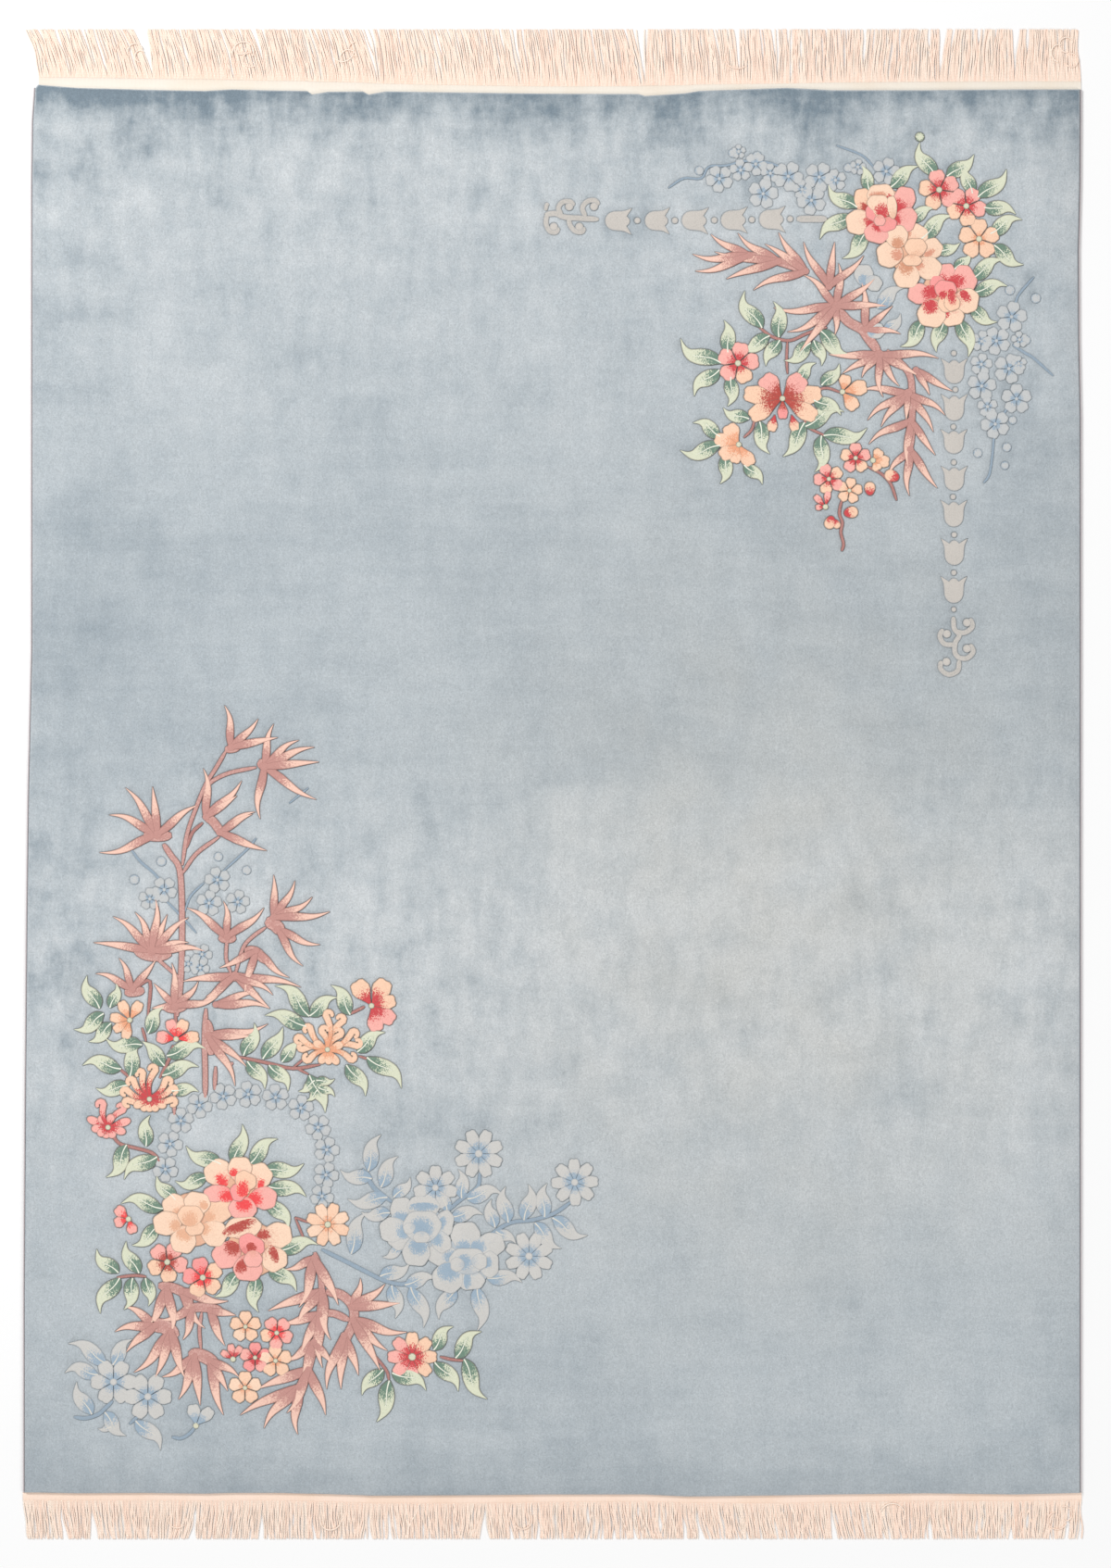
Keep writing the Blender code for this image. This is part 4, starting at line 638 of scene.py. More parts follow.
# Large blue flowers, from back to front, with the same columns as the coloured ones.
BLUE_PEONIES = (
    (
        (PALE_GREY, -38.9, -110.4, 3.5, 2.6, 95), (MIST_BLUE, -39.1, -111.4, 1.1, 1.7, 270),
        (PALE_GREY, -33.3, -109.4, 2.9, 3.8, 90), (MIST_BLUE, -33.3, -109.6, 1.0, 2.6, 90),
        (PALE_GREY, -39.4, -117.3, 3.0, 2.6, 230),
        (PALE_GREY, -41.0, -115.1, 3.5, 2.9, 190), (MIST_BLUE, -39.1, -115.7, 1.6, 1.3, 0),
        (PALE_GREY, -28.0, -113.6, 2.4, 3.2, 350), (MIST_BLUE, -28.2, -113.6, 0.9, 1.3, 160),
        (PALE_GREY, -28.8, -118.1, 3.0, 2.2, 300), (MIST_BLUE, -29.5, -118.1, 1.6, 1.1, 130),
        (PALE_GREY, -35.1, -120.7, 3.7, 3.2, 265), (MIST_BLUE, -34.6, -120.2, 1.8, 1.8, 90),
        (PALE_GREY, -33.6, -114.4, 4.0, 4.4, 90), (MIST_BLUE, -33.4, -113.8, 2.2, 2.2, 250),
        (PALE_GREY, -36.9, -114.7, 1.6, 1.4, 200),
        (PALE_GREY, -33.8, -117.0, 1.5, 2.0, 270),
    ),
    (
        (PALE_GREY, -22.4, -117.0, 3.7, 3.4, 95), (MIST_BLUE, -22.8, -119.0, 1.4, 1.4, 270),
        (PALE_GREY, -16.4, -119.2, 4.0, 2.8, 15), (MIST_BLUE, -18.5, -119.6, 1.7, 1.3, 180),
        (PALE_GREY, -28.0, -121.8, 4.0, 2.6, 170), (MIST_BLUE, -26.8, -122.0, 1.7, 1.2, 340),
        (PALE_GREY, -16.4, -124.1, 2.5, 3.1, 0), (MIST_BLUE, -16.4, -123.6, 1.0, 1.1, 180),
        (PALE_GREY, -20.9, -128.2, 2.4, 3.1, 275), (MIST_BLUE, -21.6, -128.3, 0.9, 1.5, 180),
        (PALE_GREY, -26.9, -127.4, 3.8, 3.6, 250), (MIST_BLUE, -26.7, -126.8, 2.1, 2.1, 90),
        (PALE_GREY, -21.8, -123.3, 3.3, 4.3, 90), (MIST_BLUE, -22.2, -123.3, 1.8, 1.4, 200),
        (PALE_GREY, -18.9, -123.3, 2.0, 1.9, 0),
        (PALE_GREY, -24.5, -124.1, 1.8, 1.7, 180),
    ),
    (
        (PALE_GREY, 80.5, 131.5, 2.6, 2.2, 90), (MIST_BLUE, 80.5, 130.7, 1.2, 1.0, 270),
        (PALE_GREY, 83.0, 129.5, 2.2, 1.8, 330),
        (PALE_GREY, 83.6, 117.0, 2.2, 1.8, 20), (MIST_BLUE, 83.0, 117.0, 0.9, 0.8, 200),
    ),
)
# A low flower seen from the side, with the same columns as the uneven ones.
BLUE_TULIPS = (
    (-92.1, -165.8, MIST_BLUE, ((PALE_GREY, -92.9, -160.2, 4.0), (PALE_GREY, -87.9, -161.4, 3.8))),
)
# Blue buds: x, y, radius.
BLUE_BUDS = (
    (38.0, 158.5, 1.2), (46.7, 163.0, 1.2), (53.0, 162.3, 1.2), (76.5, 159.2, 1.2), (118.3, 127.6, 1.3),
    (125.0, 125.5, 1.3), (122.5, 114.7, 1.2), (110.0, 85.5, 1.2), (117.5, 87.0, 1.2), (117.0, 82.3, 1.1),
    (119.0, 94.0, 1.1), (-101.0, -20.0, 1.3), (-108.0, -24.7, 1.3), (-86.3, -18.8, 1.2),
    (-79.0, -22.3, 1.2),
)
# Blue twigs: half width, then the points they pass through.
BLUE_TWIGS = (
    (0.3, ((30.0, 154.0), (34.0, 156.5), (38.5, 156.5), (40.5, 159.5), (45.0, 159.8), (50.0, 161.0),
           (56.0, 160.5), (60.0, 159.0))),
    (0.3, ((73.5, 165.0), (80.0, 162.5), (83.0, 159.5))),
    (0.32, ((124.5, 131.0), (121.0, 127.0), (120.0, 125.0), (119.0, 121.0))),
    (0.36, ((119.0, 113.5), (122.0, 111.5), (124.5, 110.0), (129.5, 105.5))),
    (0.3, ((118.0, 97.5), (116.0, 94.5), (114.3, 90.0), (113.8, 85.0), (113.0, 80.0), (111.5, 77.8))),
    (0.36, ((-108.8, -17.0), (-106.5, -20.0), (-103.0, -23.0), (-100.5, -26.0))),
    (0.3, ((-76.5, -14.0), (-79.0, -17.0), (-85.0, -22.5))),
    (0.3, ((-90.0, -25.5), (-93.5, -29.0), (-95.0, -33.0))),
    (0.3, ((-100.0, -30.0), (-96.0, -34.0), (-92.0, -38.5))),
    (0.25, ((-68.0, -5.0), (-65.5, -3.0), (-63.0, -1.0))),
    (0.55, ((-59.6, -120.3), (-54.5, -122.8), (-49.0, -125.6), (-43.7, -128.2), (-38.9, -129.3),
            (-35.0, -128.0))),
    (0.5, ((-27.3, -110.6), (-23.9, -107.6), (-19.4, -104.3), (-18.7, -100.5))),
    (0.5, ((-16.4, -116.6), (-10.8, -113.4), (-5.2, -112.7), (0.4, -111.0), (4.9, -108.0))),
    (0.6, ((-49.0, -99.5), (-46.0, -104.4), (-41.5, -108.0))),
    (0.5, ((-123.6, -163.6), (-120.5, -163.9), (-117.4, -162.9), (-115.6, -161.4), (-113.6, -159.4))),
    (0.45, ((-109.3, -165.4), (-106.8, -163.2))),
    (0.45, ((-98.3, -168.7), (-96.1, -169.1), (-93.9, -168.0), (-92.3, -166.2))),
)
# Grey leaves of the low pattern, from the stalk to the point: x, y, x, y, bend.
GREY_LEAVES = (
    (84.0, 123.0, 91.0, 128.2, 0.1), (86.0, 116.6, 90.0, 121.6, -0.1), (-47.6, -100.0, -44.2, -90.6, 0.1),
    (-44.3, -104.2, -39.8, -96.2, 0.1), (-41.0, -106.8, -36.7, -101.6, -0.1),
    (-46.6, -102.0, -54.8, -99.7, 0.1), (-42.6, -106.8, -52.9, -107.2, 0.1),
    (-41.9, -110.8, -49.4, -110.6, 0.1), (-52.0, -121.4, -47.9, -110.7, 0.1),
    (-44.5, -127.2, -36.8, -123.7, -0.1), (-38.1, -129.4, -29.9, -127.9, 0.1),
    (-27.1, -110.6, -27.8, -103.9, 0.1), (-23.4, -107.0, -24.3, -99.6, -0.1),
    (-22.0, -107.2, -12.8, -106.2, 0.14), (-26.3, -111.9, -17.9, -111.3, 0.1),
    (-14.8, -114.6, -15.7, -107.3, 0.1), (-11.4, -113.3, -12.0, -104.0, 0.1),
    (-7.3, -112.7, -6.2, -103.4, -0.1), (-2.0, -111.9, -1.3, -103.2, 0.1),
    (0.0, -112.1, 9.2, -116.6, -0.12), (-4.5, -113.4, 2.4, -120.0, -0.1),
    (-14.6, -115.6, -9.4, -118.8, 0.08), (-38.9, -119.6, -43.9, -122.2, 0.1),
    (-41.5, -129.5, -40.6, -138.1, 0.1), (-36.6, -130.0, -33.3, -140.5, 0.1),
    (-25.0, -130.4, -29.3, -138.4, -0.1), (-19.4, -129.8, -19.4, -141.3, 0.1),
    (-16.8, -127.6, -7.8, -128.8, 0.1), (-115.2, -149.8, -125.1, -144.6, -0.1),
    (-113.6, -150.1, -108.6, -143.5, 0.1), (-117.4, -152.6, -126.0, -152.2, -0.14),
    (-119.0, -162.9, -122.9, -154.5, 0.1), (-115.7, -162.3, -110.1, -168.4, -0.1),
    (-107.7, -164.5, -101.3, -172.2, 0.12), (-113.9, -166.2, -117.4, -166.5, 0.1),
)

# The outlines of the motifs that the field is carved around, and how much painted shade darkens their
# grooves.
SILHOUETTES = []

# Across a patch of pile, from its foot to its middle: inset from the edge, least share of the half width,
# drop under the crest, painted shade of the outline there. The foot stands in the groove, whatever the crest.
PATCH_SECTION = (
    (0.0, 1.0, None, 1.0),
    (0.3 * MM, 0.92, 0.5 * MM, 1.0),
    (1.5 * MM, 0.78, 0.16 * MM, 0.8),
    (2.9 * MM, 0.55, 0.0, 0.0),
    (1.0, 0.1, 0.0, 0.0),
)
# The same across a hollow, which lies almost flush in its petal.
HOLLOW_SECTION = (
    (0.0, 1.0, None, 0.0),
    (0.3 * MM, 0.95, 0.05 * MM, 0.0),
    (1.0, 0.72, 0.0, 0.0),
    (1.0, 0.4, 0.0, 0.0),
    (1.0, 0.08, 0.0, 0.0),
)
# The share of the painted groove shade that the low motifs get.
LOW_GROOVE_SHADE = 0.45
PATCH_FOOT = GROOVE_FLOOR - 0.6 * MM

# Along a leaf or a blade from its stalk: share of the length, share of the half width.
LEAF_SHAPE = (
    (0.0, 0.14), (0.06, 0.42), (0.16, 0.8), (0.3, 1.0), (0.45, 1.0), (0.6, 0.82), (0.74, 0.52),
    (0.86, 0.26), (0.94, 0.12), (1.0, 0.02),
)
BLADE_SHAPE = (
    (0.0, 0.62), (0.15, 0.88), (0.34, 1.0), (0.54, 0.84), (0.74, 0.52), (0.9, 0.22), (1.0, 0.03),
)


def clamp(value):
    """A value kept between 0 and 1."""
    return min(max(value, 0.0), 1.0)


def eased(value):
    """A value kept between 0 and 1, with soft ends."""
    value = clamp(value)
    return value * value * (3 - 2 * value)


def table_value(rows, place, column):
    """Read a table of rows at a place between its first column's values."""
    if place <= rows[0][0]:
        return rows[0][column]
    for low, high in zip(rows, rows[1:]):
        if place <= high[0]:
            share = (place - low[0]) / (high[0] - low[0])
            return low[column] + share * (high[column] - low[column])
    return rows[-1][column]


def in_metres(x, y):
    """A place of the tables in metres."""
    return Vector((x, y)) * CM


def heading(degrees):
    """The unit vector in a direction, anticlockwise from +X."""
    return Vector((math.cos(math.radians(degrees)), math.sin(math.radians(degrees))))


def blended(first, second, share):
    """A yarn between two yarns."""
    return tuple(a + (b - a) * share for a, b in zip(first, second))


class Tufts:
    """Raised patches of cut pile that share one mesh, with what each of their points carries."""

    def __init__(self):
        self.points = []
        self.faces = []
        self.dark = []
        self.light = []
        self.tone = []
        self.edge = []

    def add(self, points, faces, dark, light, tones, edges):
        """Add one closed patch."""
        start = len(self.points)
        self.points.extend(points)
        self.faces.extend([start + corner for corner in face] for face in faces)
        self.dark.extend([dark] * len(points))
        self.light.extend([light] * len(points))
        self.tone.extend(tones)
        self.edge.extend(edges)

    def make(self, name, material):
        """Turn the patches into one piece."""
        piece = make_piece(name, self.points, self.faces, material, smooth_angle=math.radians(65))
        carry_numbers(piece, "tone", self.tone)
        # The edge number is how much painted shade darkens the outline at each point.
        carry_numbers(piece, "edge", self.edge)
        carry_colours(piece, "dark", self.dark)
        carry_colours(piece, "light", self.light)
        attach(piece, "root")
        return piece


def make_piece(name, points, faces, material, smooth_angle):
    """Make one object from points and faces, with its faces turned outward."""
    mesh = bpy.data.meshes.new(name)
    mesh.from_pydata([tuple(point) for point in points], [], faces)
    shape = bmesh.new()
    shape.from_mesh(mesh)
    bmesh.ops.recalc_face_normals(shape, faces=shape.faces)
    shape.to_mesh(mesh)
    shape.free()
    mesh.materials.append(material)
    mesh.shade_smooth()
    mesh.set_sharp_from_angle(angle=smooth_angle)
    piece = bpy.data.objects.new(name, mesh)
    bpy.context.scene.collection.objects.link(piece)
    return piece


def carry_numbers(piece, name, values):
    """Give each point of a piece a number that its material reads."""
    attribute = piece.data.attributes.new(name, "FLOAT", "POINT")
    attribute.data.foreach_set("value", np.asarray(values, dtype=np.float32))


def carry_colours(piece, name, values):
    """Give each point of a piece a colour that its material reads."""
    attribute = piece.data.attributes.new(name, "FLOAT_COLOR", "POINT")
    colours = np.ones((len(values), 4), dtype=np.float32)
    colours[:, :3] = np.asarray(values, dtype=np.float32)
    attribute.data.foreach_set("color", colours.ravel())


def carry_vectors(piece, name, values):
    """Give each point of a piece three numbers that its material reads."""
    attribute = piece.data.attributes.new(name, "FLOAT_VECTOR", "POINT")
    attribute.data.foreach_set("vector", np.asarray(values, dtype=np.float32).ravel())


# Patches of pile

def tube_faces(rings, count):
    """The faces between rings of points that follow one another, and over the first and the last ring."""
    faces = []
    for ring in range(rings - 1):
        start = ring * count
        for corner in range(count):
            following = (corner + 1) % count
            faces.append([start + place for place in (corner, following, count + following, count + corner)])
    faces.append(list(range(count)))
    faces.append(list(range((rings - 1) * count, rings * count)))
    return faces


def groove_shade(crest):
    """How much painted shade darkens the groove round a patch: fainter round the low ones."""
    return 1.0 if crest > (RELIEF + LOW_RELIEF) / 2 else LOW_GROOVE_SHADE


def own_rise(place):
    """A small height of each patch's own, so that the tops of overlapping patches never share a plane."""
    return OWN_RISE * ((RISE_MIX[0] * place.x + RISE_MIX[1] * place.y) % 1.0)


def add_strip(tufts, spine, half_widths, dark, light, tone, crest, foot=PATCH_FOOT):
    """A long patch along a spine. tone gives 0 for the dark yarn to 1 for the light one at a place on it."""
    points = []
    tones = []
    edges = []
    sides = []
    crest += own_rise(spine[-1])
    for step, (place, half_width) in enumerate(zip(spine, half_widths)):
        before = spine[max(step - 1, 0)]
        after = spine[min(step + 1, len(spine) - 1)]
        direction = (after - before).normalized()
        across = Vector((-direction.y, direction.x))
        along = step / (len(spine) - 1)
        sides.append((place + across * half_width, place - across * half_width))
        for side, section in ((1, PATCH_SECTION), (-1, tuple(reversed(PATCH_SECTION)))):
            for inset, least, drop, shade in section:
                offset = side * max(half_width - inset, least * half_width)
                spot = place + across * offset
                points.append((spot.x, spot.y, foot if drop is None else crest - drop))
                tones.append(tone(along, offset / half_width))
                edges.append(shade)
    faces = tube_faces(len(spine), 2 * len(PATCH_SECTION))
    tufts.add(points, faces, dark, light, tones, edges)
    if foot == PATCH_FOOT:
        outline = [right for left, right in sides] + [left for left, right in reversed(sides)]
        SILHOUETTES.append((outline, groove_shade(crest)))


def add_blob(tufts, centre, outline, dark, light, tone, crest, foot=PATCH_FOOT, section=PATCH_SECTION):
    """A rounded patch round a centre. tone gives 0 for the dark yarn to 1 for the light one at a place."""
    points = []
    tones = []
    edges = []
    crest += own_rise(centre)
    for inset, least, drop, shade in section:
        for place in outline:
            ray = place - centre
            offset = max(ray.length - inset, least * ray.length)
            spot = centre + ray.normalized() * offset
            points.append((spot.x, spot.y, foot if drop is None else crest - drop))
            tones.append(tone(spot))
            edges.append(shade)
    tufts.add(points, tube_faces(len(section), len(outline)), dark, light, tones, edges)
    if foot == PATCH_FOOT:
        SILHOUETTES.append((list(outline), groove_shade(crest)))


def round_outline(centre, radius, corners=12):
    """The outline of a round patch."""
    return [centre + heading(360 * corner / corners) * radius for corner in range(corners)]


def petal_outline(base, tip, width, fullness, waves=0.0, corners=20):
    """The outline of a petal. fullness is its width at the base against its widest, waves how lobed it is."""
    reach = tip - base
    middle = base.lerp(tip, 0.5)
    across = Vector((-reach.y, reach.x)).normalized() * width / 2
    outline = []
    for corner in range(corners):
        angle = 2 * math.pi * corner / corners
        rise = -math.copysign(abs(math.cos(angle)) ** 0.95, math.cos(angle))
        spread = math.copysign(abs(math.sin(angle)) ** 0.92, math.sin(angle))
        spread *= fullness + (1 - fullness) * eased(0.62 + 0.6 * rise)
        lobes = 1 - waves * math.cos(6 * angle) * eased(0.5 + rise)
        outline.append(middle + (reach / 2 * rise - across * spread) * lobes)
    return outline


def bowed_spine(start, end, bend, sway, steps):
    """A spine from start to end that bows to one side and sways a little to both."""
    reach = end - start
    normal = Vector((-reach.y, reach.x))
    spine = []
    for step in range(steps + 1):
        share = step / steps
        offset = bend * math.sin(math.pi * share) + sway * math.sin(2 * math.pi * share)
        spine.append(start + reach * share + normal * offset)
    return spine


def smooth_path(stations, steps):
    """A smooth path through stations, with steps between each two of them."""
    places = [in_metres(*station) for station in stations]
    ends = [2 * places[0] - places[1]] + places + [2 * places[-1] - places[-2]]
    path = []
    for index in range(1, len(ends) - 2):
        before, start, end, after = ends[index - 1:index + 3]
        for step in range(steps):
            share = step / steps
            path.append(0.5 * (2 * start + (end - before) * share
                               + (2 * before - 5 * start + 4 * end - after) * share ** 2
                               + (3 * start - before - 3 * end + after) * share ** 3))
    path.append(places[-1])
    return path


# Motifs

def add_leaf(tufts, row, shape, half_width, dark, light, tone, crest):
    """A leaf or blade with a pointed, slightly hooked tip."""
    start = in_metres(row[0], row[1])
    end = in_metres(row[2], row[3])
    spine = bowed_spine(start, end, row[4], -0.5 * row[4], len(shape) * 2 - 2)
    count = len(spine) - 1
    widths = [half_width * table_value(shape, step / count, 1) for step in range(count + 1)]
    add_strip(tufts, spine, widths, dark, light, tone, crest)
    return spine


def add_veined_leaf(tufts, row, dark, light, vein, crest, paleness=0.0):
    """A broad leaf, dark at its stalk and along its vein, with a raised pale vein."""
    length = math.hypot(row[2] - row[0], row[3] - row[1]) * CM
    lit_side = 1 if row[4] > 0 else -1

    def tone(along, across):
        """Light at the point and the margins, and on one side of the vein."""
        return clamp(1.75 * along - 0.3 + 0.3 * abs(across) + 0.12 * lit_side * across + paleness)

    half_width = LEAF_WIDTH * length * min(1.08, 1.6 - 6.8 * length)
    spine = add_leaf(tufts, row, LEAF_SHAPE, half_width, dark, light, tone, crest)
    veined = spine[:int(len(spine) * VEIN_REACH)]
    widths = [(2.4 - 1.5 * step / (len(veined) - 1)) * MM for step in range(len(veined))]
    add_strip(tufts, veined, widths, blended(vein, dark, 0.2), vein,
              lambda along, across: 1.2 - 0.4 * along, crest + VEIN_RISE, foot=crest - 0.5 * MM)


def add_hollow(tufts, centre, half_length, half_width, direction, dark, light, crest):
    """A dark place in a petal that fades away from one end."""
    towards = heading(direction)
    reach = towards * half_length
    outline = petal_outline(centre - reach, centre + reach, 2 * half_width, 0.75)

    def tone(place):
        """Dark from the middle to the end that it points to, and fading away to the sides."""
        along = (place - centre).dot(towards) / half_length
        aside = (place - centre).cross(towards) / half_width
        return clamp(0.16 - 0.46 * along + 0.56 * (along ** 2 + aside ** 2))

    foot = crest - 0.9 * MM
    add_blob(tufts, centre, outline, dark, light, tone, crest, foot=foot, section=HOLLOW_SECTION)


def add_large_petal(tufts, row, shadow, crest):
    """A petal of a large flower, a little darker towards its base."""
    dye, x, y, half_length, half_width, direction = row
    centre = in_metres(x, y)
    reach = heading(direction) * half_length * 1.06 * CM
    base = centre - reach
    tip = centre + reach
    outline = petal_outline(base, tip, 2.4 * half_width * CM, 0.8, 0.045, 28)

    def tone(place):
        """Lighter away from the base."""
        return clamp(1.4 * (place - base).length / (tip - base).length)

    add_blob(tufts, centre, outline, blended(dye, shadow, 0.4), dye, tone, crest)


def add_peony(tufts, rows, gap_shade_yarn, edge_yarn, crest):
    """A large flower of overlapping petals, from back to front, over a disc of painted shade that fills its
    gaps.
    """
    petals = [row for row in rows if row[0] not in DARK_YARNS]
    middle = sum((in_metres(row[1], row[2]) for row in petals), Vector((0, 0))) / len(petals)
    reach = max((in_metres(row[1], row[2]) - middle).length for row in petals)
    # A disc of painted shade under the petals, seen where they part.
    if len(petals) > 4:
        disc = round_outline(middle, reach, 20)
        add_blob(tufts, middle, disc, gap_shade_yarn, gap_shade_yarn, lambda place: 0.5, crest - LAYER)
    petal_yarn = CREAM
    for layer, row in enumerate(rows):
        dye, x, y, half_length, half_width, direction = row
        height = crest + layer * LAYER
        if dye in DARK_YARNS:
            half_size = (1.5 * half_length * CM, 1.6 * half_width * CM)
            add_hollow(tufts, in_metres(x, y), *half_size, direction, dye, petal_yarn, height)
            continue
        petal_yarn = dye
        following = rows[layer + 1][0] if layer + 1 < len(rows) else None
        add_large_petal(tufts, row, following if following in DARK_YARNS else edge_yarn, height)


def add_petal(tufts, heart, tip, width, dark, light, crest, heart_reach=0.5, fullness=0.26, waves=0.07):
    """A petal that springs from the heart of a flower, dark near it."""
    reach = (tip - heart).length
    base = heart.lerp(tip, 0.04)
    outline = petal_outline(base, tip, width, fullness, waves, 20)

    def tone(place):
        """Dark at the heart, and fading along the petal."""
        return clamp(((place - heart).length / reach - heart_reach) / 0.5 + 0.5)

    add_blob(tufts, heart.lerp(tip, 0.6), outline, dark, light, tone, crest)


def add_button(tufts, heart, radius, crest, light, dark):
    """The round middle of a flower."""
    # The rim fades towards the dark yarn; where that is the outline shade, the rim carries painted shade.
    add_blob(tufts, heart, round_outline(heart, radius), blended(light, dark, 0.5), light,
             lambda place: clamp(1.7 - 1.3 * (place - heart).length / radius), crest, foot=crest - 1.4 * MM)


def add_open_flower(tufts, x, y, radius, petals, first, yarns, dark, crest, heart_reach, roundness=0.8):
    """The even petals of a flower seen from above. Gives its heart."""
    heart = in_metres(x, y)
    width = 2 * radius * CM * math.sin(math.pi / petals) * roundness
    for petal in range(petals):
        tip = heart + heading(first + 360 * petal / petals) * radius * CM
        light = yarns[petal % len(yarns)]
        add_petal(tufts, heart, tip, width, dark, light, crest + (petal % 2) * LAYER, heart_reach)
    return heart


def add_uneven_flower(tufts, x, y, dark, petals, crest):
    """A flower with its own petal tips and widths."""
    heart = in_metres(x, y)
    for index, (light, tip_x, tip_y, width) in enumerate(petals):
        tip = in_metres(tip_x, tip_y)
        add_petal(tufts, heart, tip, width * CM, dark, light, crest + (index % 3) * LAYER, fullness=0.25)
    if len(petals) > 1:
        add_button(tufts, heart, 0.8 * CM, crest + 1.1 * MM, BUTTON, OUTLINE_SHADE)


def curled_spine(heart, direction, reach, curl):
    """The spine of a petal that runs out from the heart and ends in a hook."""
    tip = heart + heading(direction) * (reach - CURL_OVERHANG) * CM
    spine = bowed_spine(heart.lerp(tip, 0.08), tip, 0.09 * curl, 0.0, 6)
    turn = math.copysign(1, curl)
    centre = tip + heading(direction + 90 * turn) * CURL_RADIUS * CM
    for step in range(1, 7):
        spine.append(centre + heading(direction - 90 * turn + 36 * turn * step) * CURL_RADIUS * CM)
    return spine


def add_curled_flower(tufts, x, y, dark, light, petals, crest):
    """A flower with narrow petals that curl over at their tips."""
    heart = in_metres(x, y)
    for index, (direction, reach, curl) in enumerate(petals):
        if curl == 0:
            tip = heart + heading(direction) * reach * CM
            add_petal(tufts, heart, tip, 2.5 * CM, dark, light, crest + (index % 5) * LAYER, fullness=0.4,
                      waves=0.0)
            continue
        spine = curled_spine(heart, direction, reach, curl)
        count = len(spine) - 1
        swells = [0.7 + 0.45 * math.sin(math.pi * step / count) ** 2 for step in range(count)]
        widths = [CURLED_HALF_WIDTH * CM * swell for swell in swells]
        widths.append(0.55 * CURLED_HALF_WIDTH * CM)
        add_strip(tufts, spine, widths, dark, light, lambda along, across: clamp(2.4 * along - 0.15),
                  crest + (index % 5) * LAYER)
    add_button(tufts, heart, 0.75 * CM, crest + 1.3 * MM, BUTTON, OUTLINE_SHADE)


def add_spray(tufts, x, y, tips, blade_half_width, crest):
    """A spray of bamboo blades from one broad joint."""
    joint = in_metres(x, y)
    for index, (tip_x, tip_y) in enumerate(tips):
        bend = 0.06 * math.sin(7.0 * index + x)
        length = math.hypot(tip_x - x, tip_y - y)
        half_width = blade_half_width * min(0.62 + 0.035 * length, 1.1) * CM
        add_leaf(tufts, (x, y, tip_x, tip_y, bend), BLADE_SHAPE, half_width, BLADE_DARK, BLADE_LIGHT,
                 lambda along, across: clamp(1.75 * along - 0.26), crest + (index % 4) * 1.3 * LAYER)
    radius = (0.7 + 0.07 * len(tips)) * CM
    add_blob(tufts, joint, round_outline(joint, radius, 12), BLADE_DARK, BLADE_LIGHT, lambda place: 0.05,
             crest + 4 * LAYER, section=HOLLOW_SECTION)


def add_path(tufts, half_width, stations, dark, light, tone_level, crest, steps=4):
    """A stalk, twig, scroll or bar, of even width up to its rounded ends."""
    path = smooth_path(stations, steps)
    count = len(path) - 1
    widths = [half_width * ROUNDED_END[min(step, count - step, 2)] * CM for step in range(count + 1)]
    add_strip(tufts, path, widths, dark, light, lambda along, across: tone_level + 0.2 * abs(across), crest)


def add_bell(tufts, mouth_x, mouth_y, end_x, end_y, crest):
    """A bell flower of the cream ornament, with a notched mouth and flared corners."""
    mouth = in_metres(mouth_x, mouth_y)
    end = in_metres(end_x, end_y)
    across = Vector((mouth.y - end.y, end.x - mouth.x)).normalized() * CM
    one_side = [mouth.lerp(end, share) + across * width for share, width in BELL_SHAPE]
    other_side = [mouth.lerp(end, share) - across * width for share, width in reversed(BELL_SHAPE[1:-1])]
    outline = one_side + other_side
    middle = mouth.lerp(end, BELL_MIDDLE)
    add_blob(tufts, middle, outline, STONE, STONE_LIGHT, lambda place: 0.75, crest)


def add_bud(tufts, x, y, radius, dark, light, crest):
    """A round bud or bead."""
    centre = in_metres(x, y)
    add_blob(tufts, centre, round_outline(centre, radius * CM), dark, light,
             lambda place: clamp(1.3 - 0.9 * (place - centre).length / (radius * CM)), crest)


def add_pointed_bud(tufts, x, y, radius, direction, crest):
    """A closed bud, crimson at its stalk and pale at its tip."""
    centre = in_metres(x, y)
    towards = heading(direction)
    reach = towards * radius * CM
    outline = petal_outline(centre - reach, centre + reach, 1.7 * radius * CM, 0.8)
    add_blob(tufts, centre, outline, CRIMSON, PEACH,
             lambda place: clamp(0.58 + 0.8 * (place - centre).dot(towards) / (radius * CM)), crest)


def build_peonies(material):
    """The large flowers of both bouquets."""
    tufts = Tufts()
    for rows in PEONIES:
        add_peony(tufts, rows, blended(PEACH, TAN, 0.5), TAN, PEONY_CREST)
    return tufts.make("peonies", material)


def build_blossoms(material):
    """The smaller coloured flowers and buds."""
    tufts = Tufts()
    for row in OPEN_FLOWERS:
        heart_reach = 0.3 if row[6] == ORANGE else 0.46
        heart = add_open_flower(tufts, *row, FLOWER_CREST, heart_reach)
        add_button(tufts, heart, max(BUTTON_SHARE * row[2], 0.6) * CM, BUTTON_CREST, BUTTON, OUTLINE_SHADE)
    for row in UNEVEN_FLOWERS:
        add_uneven_flower(tufts, *row, FLOWER_CREST)
    for row in CURLED_FLOWERS:
        add_curled_flower(tufts, *row, SMALL_CREST)
    add_bud(tufts, *LOOSE_BUD, LEAF_DARK, LEAF_LIGHT, RELIEF)
    for row in BUDS:
        add_pointed_bud(tufts, *row, SMALL_CREST)
    return tufts.make("blossoms", material)


def build_leaves(material):
    """The green leaves of both bouquets."""
    tufts = Tufts()
    for index, row in enumerate(LEAVES):
        add_veined_leaf(tufts, row, LEAF_DARK, LEAF_LIGHT, LEAF_VEIN, RELIEF + (index % 4) * 0.5 * LAYER)
    return tufts.make("leaves", material)


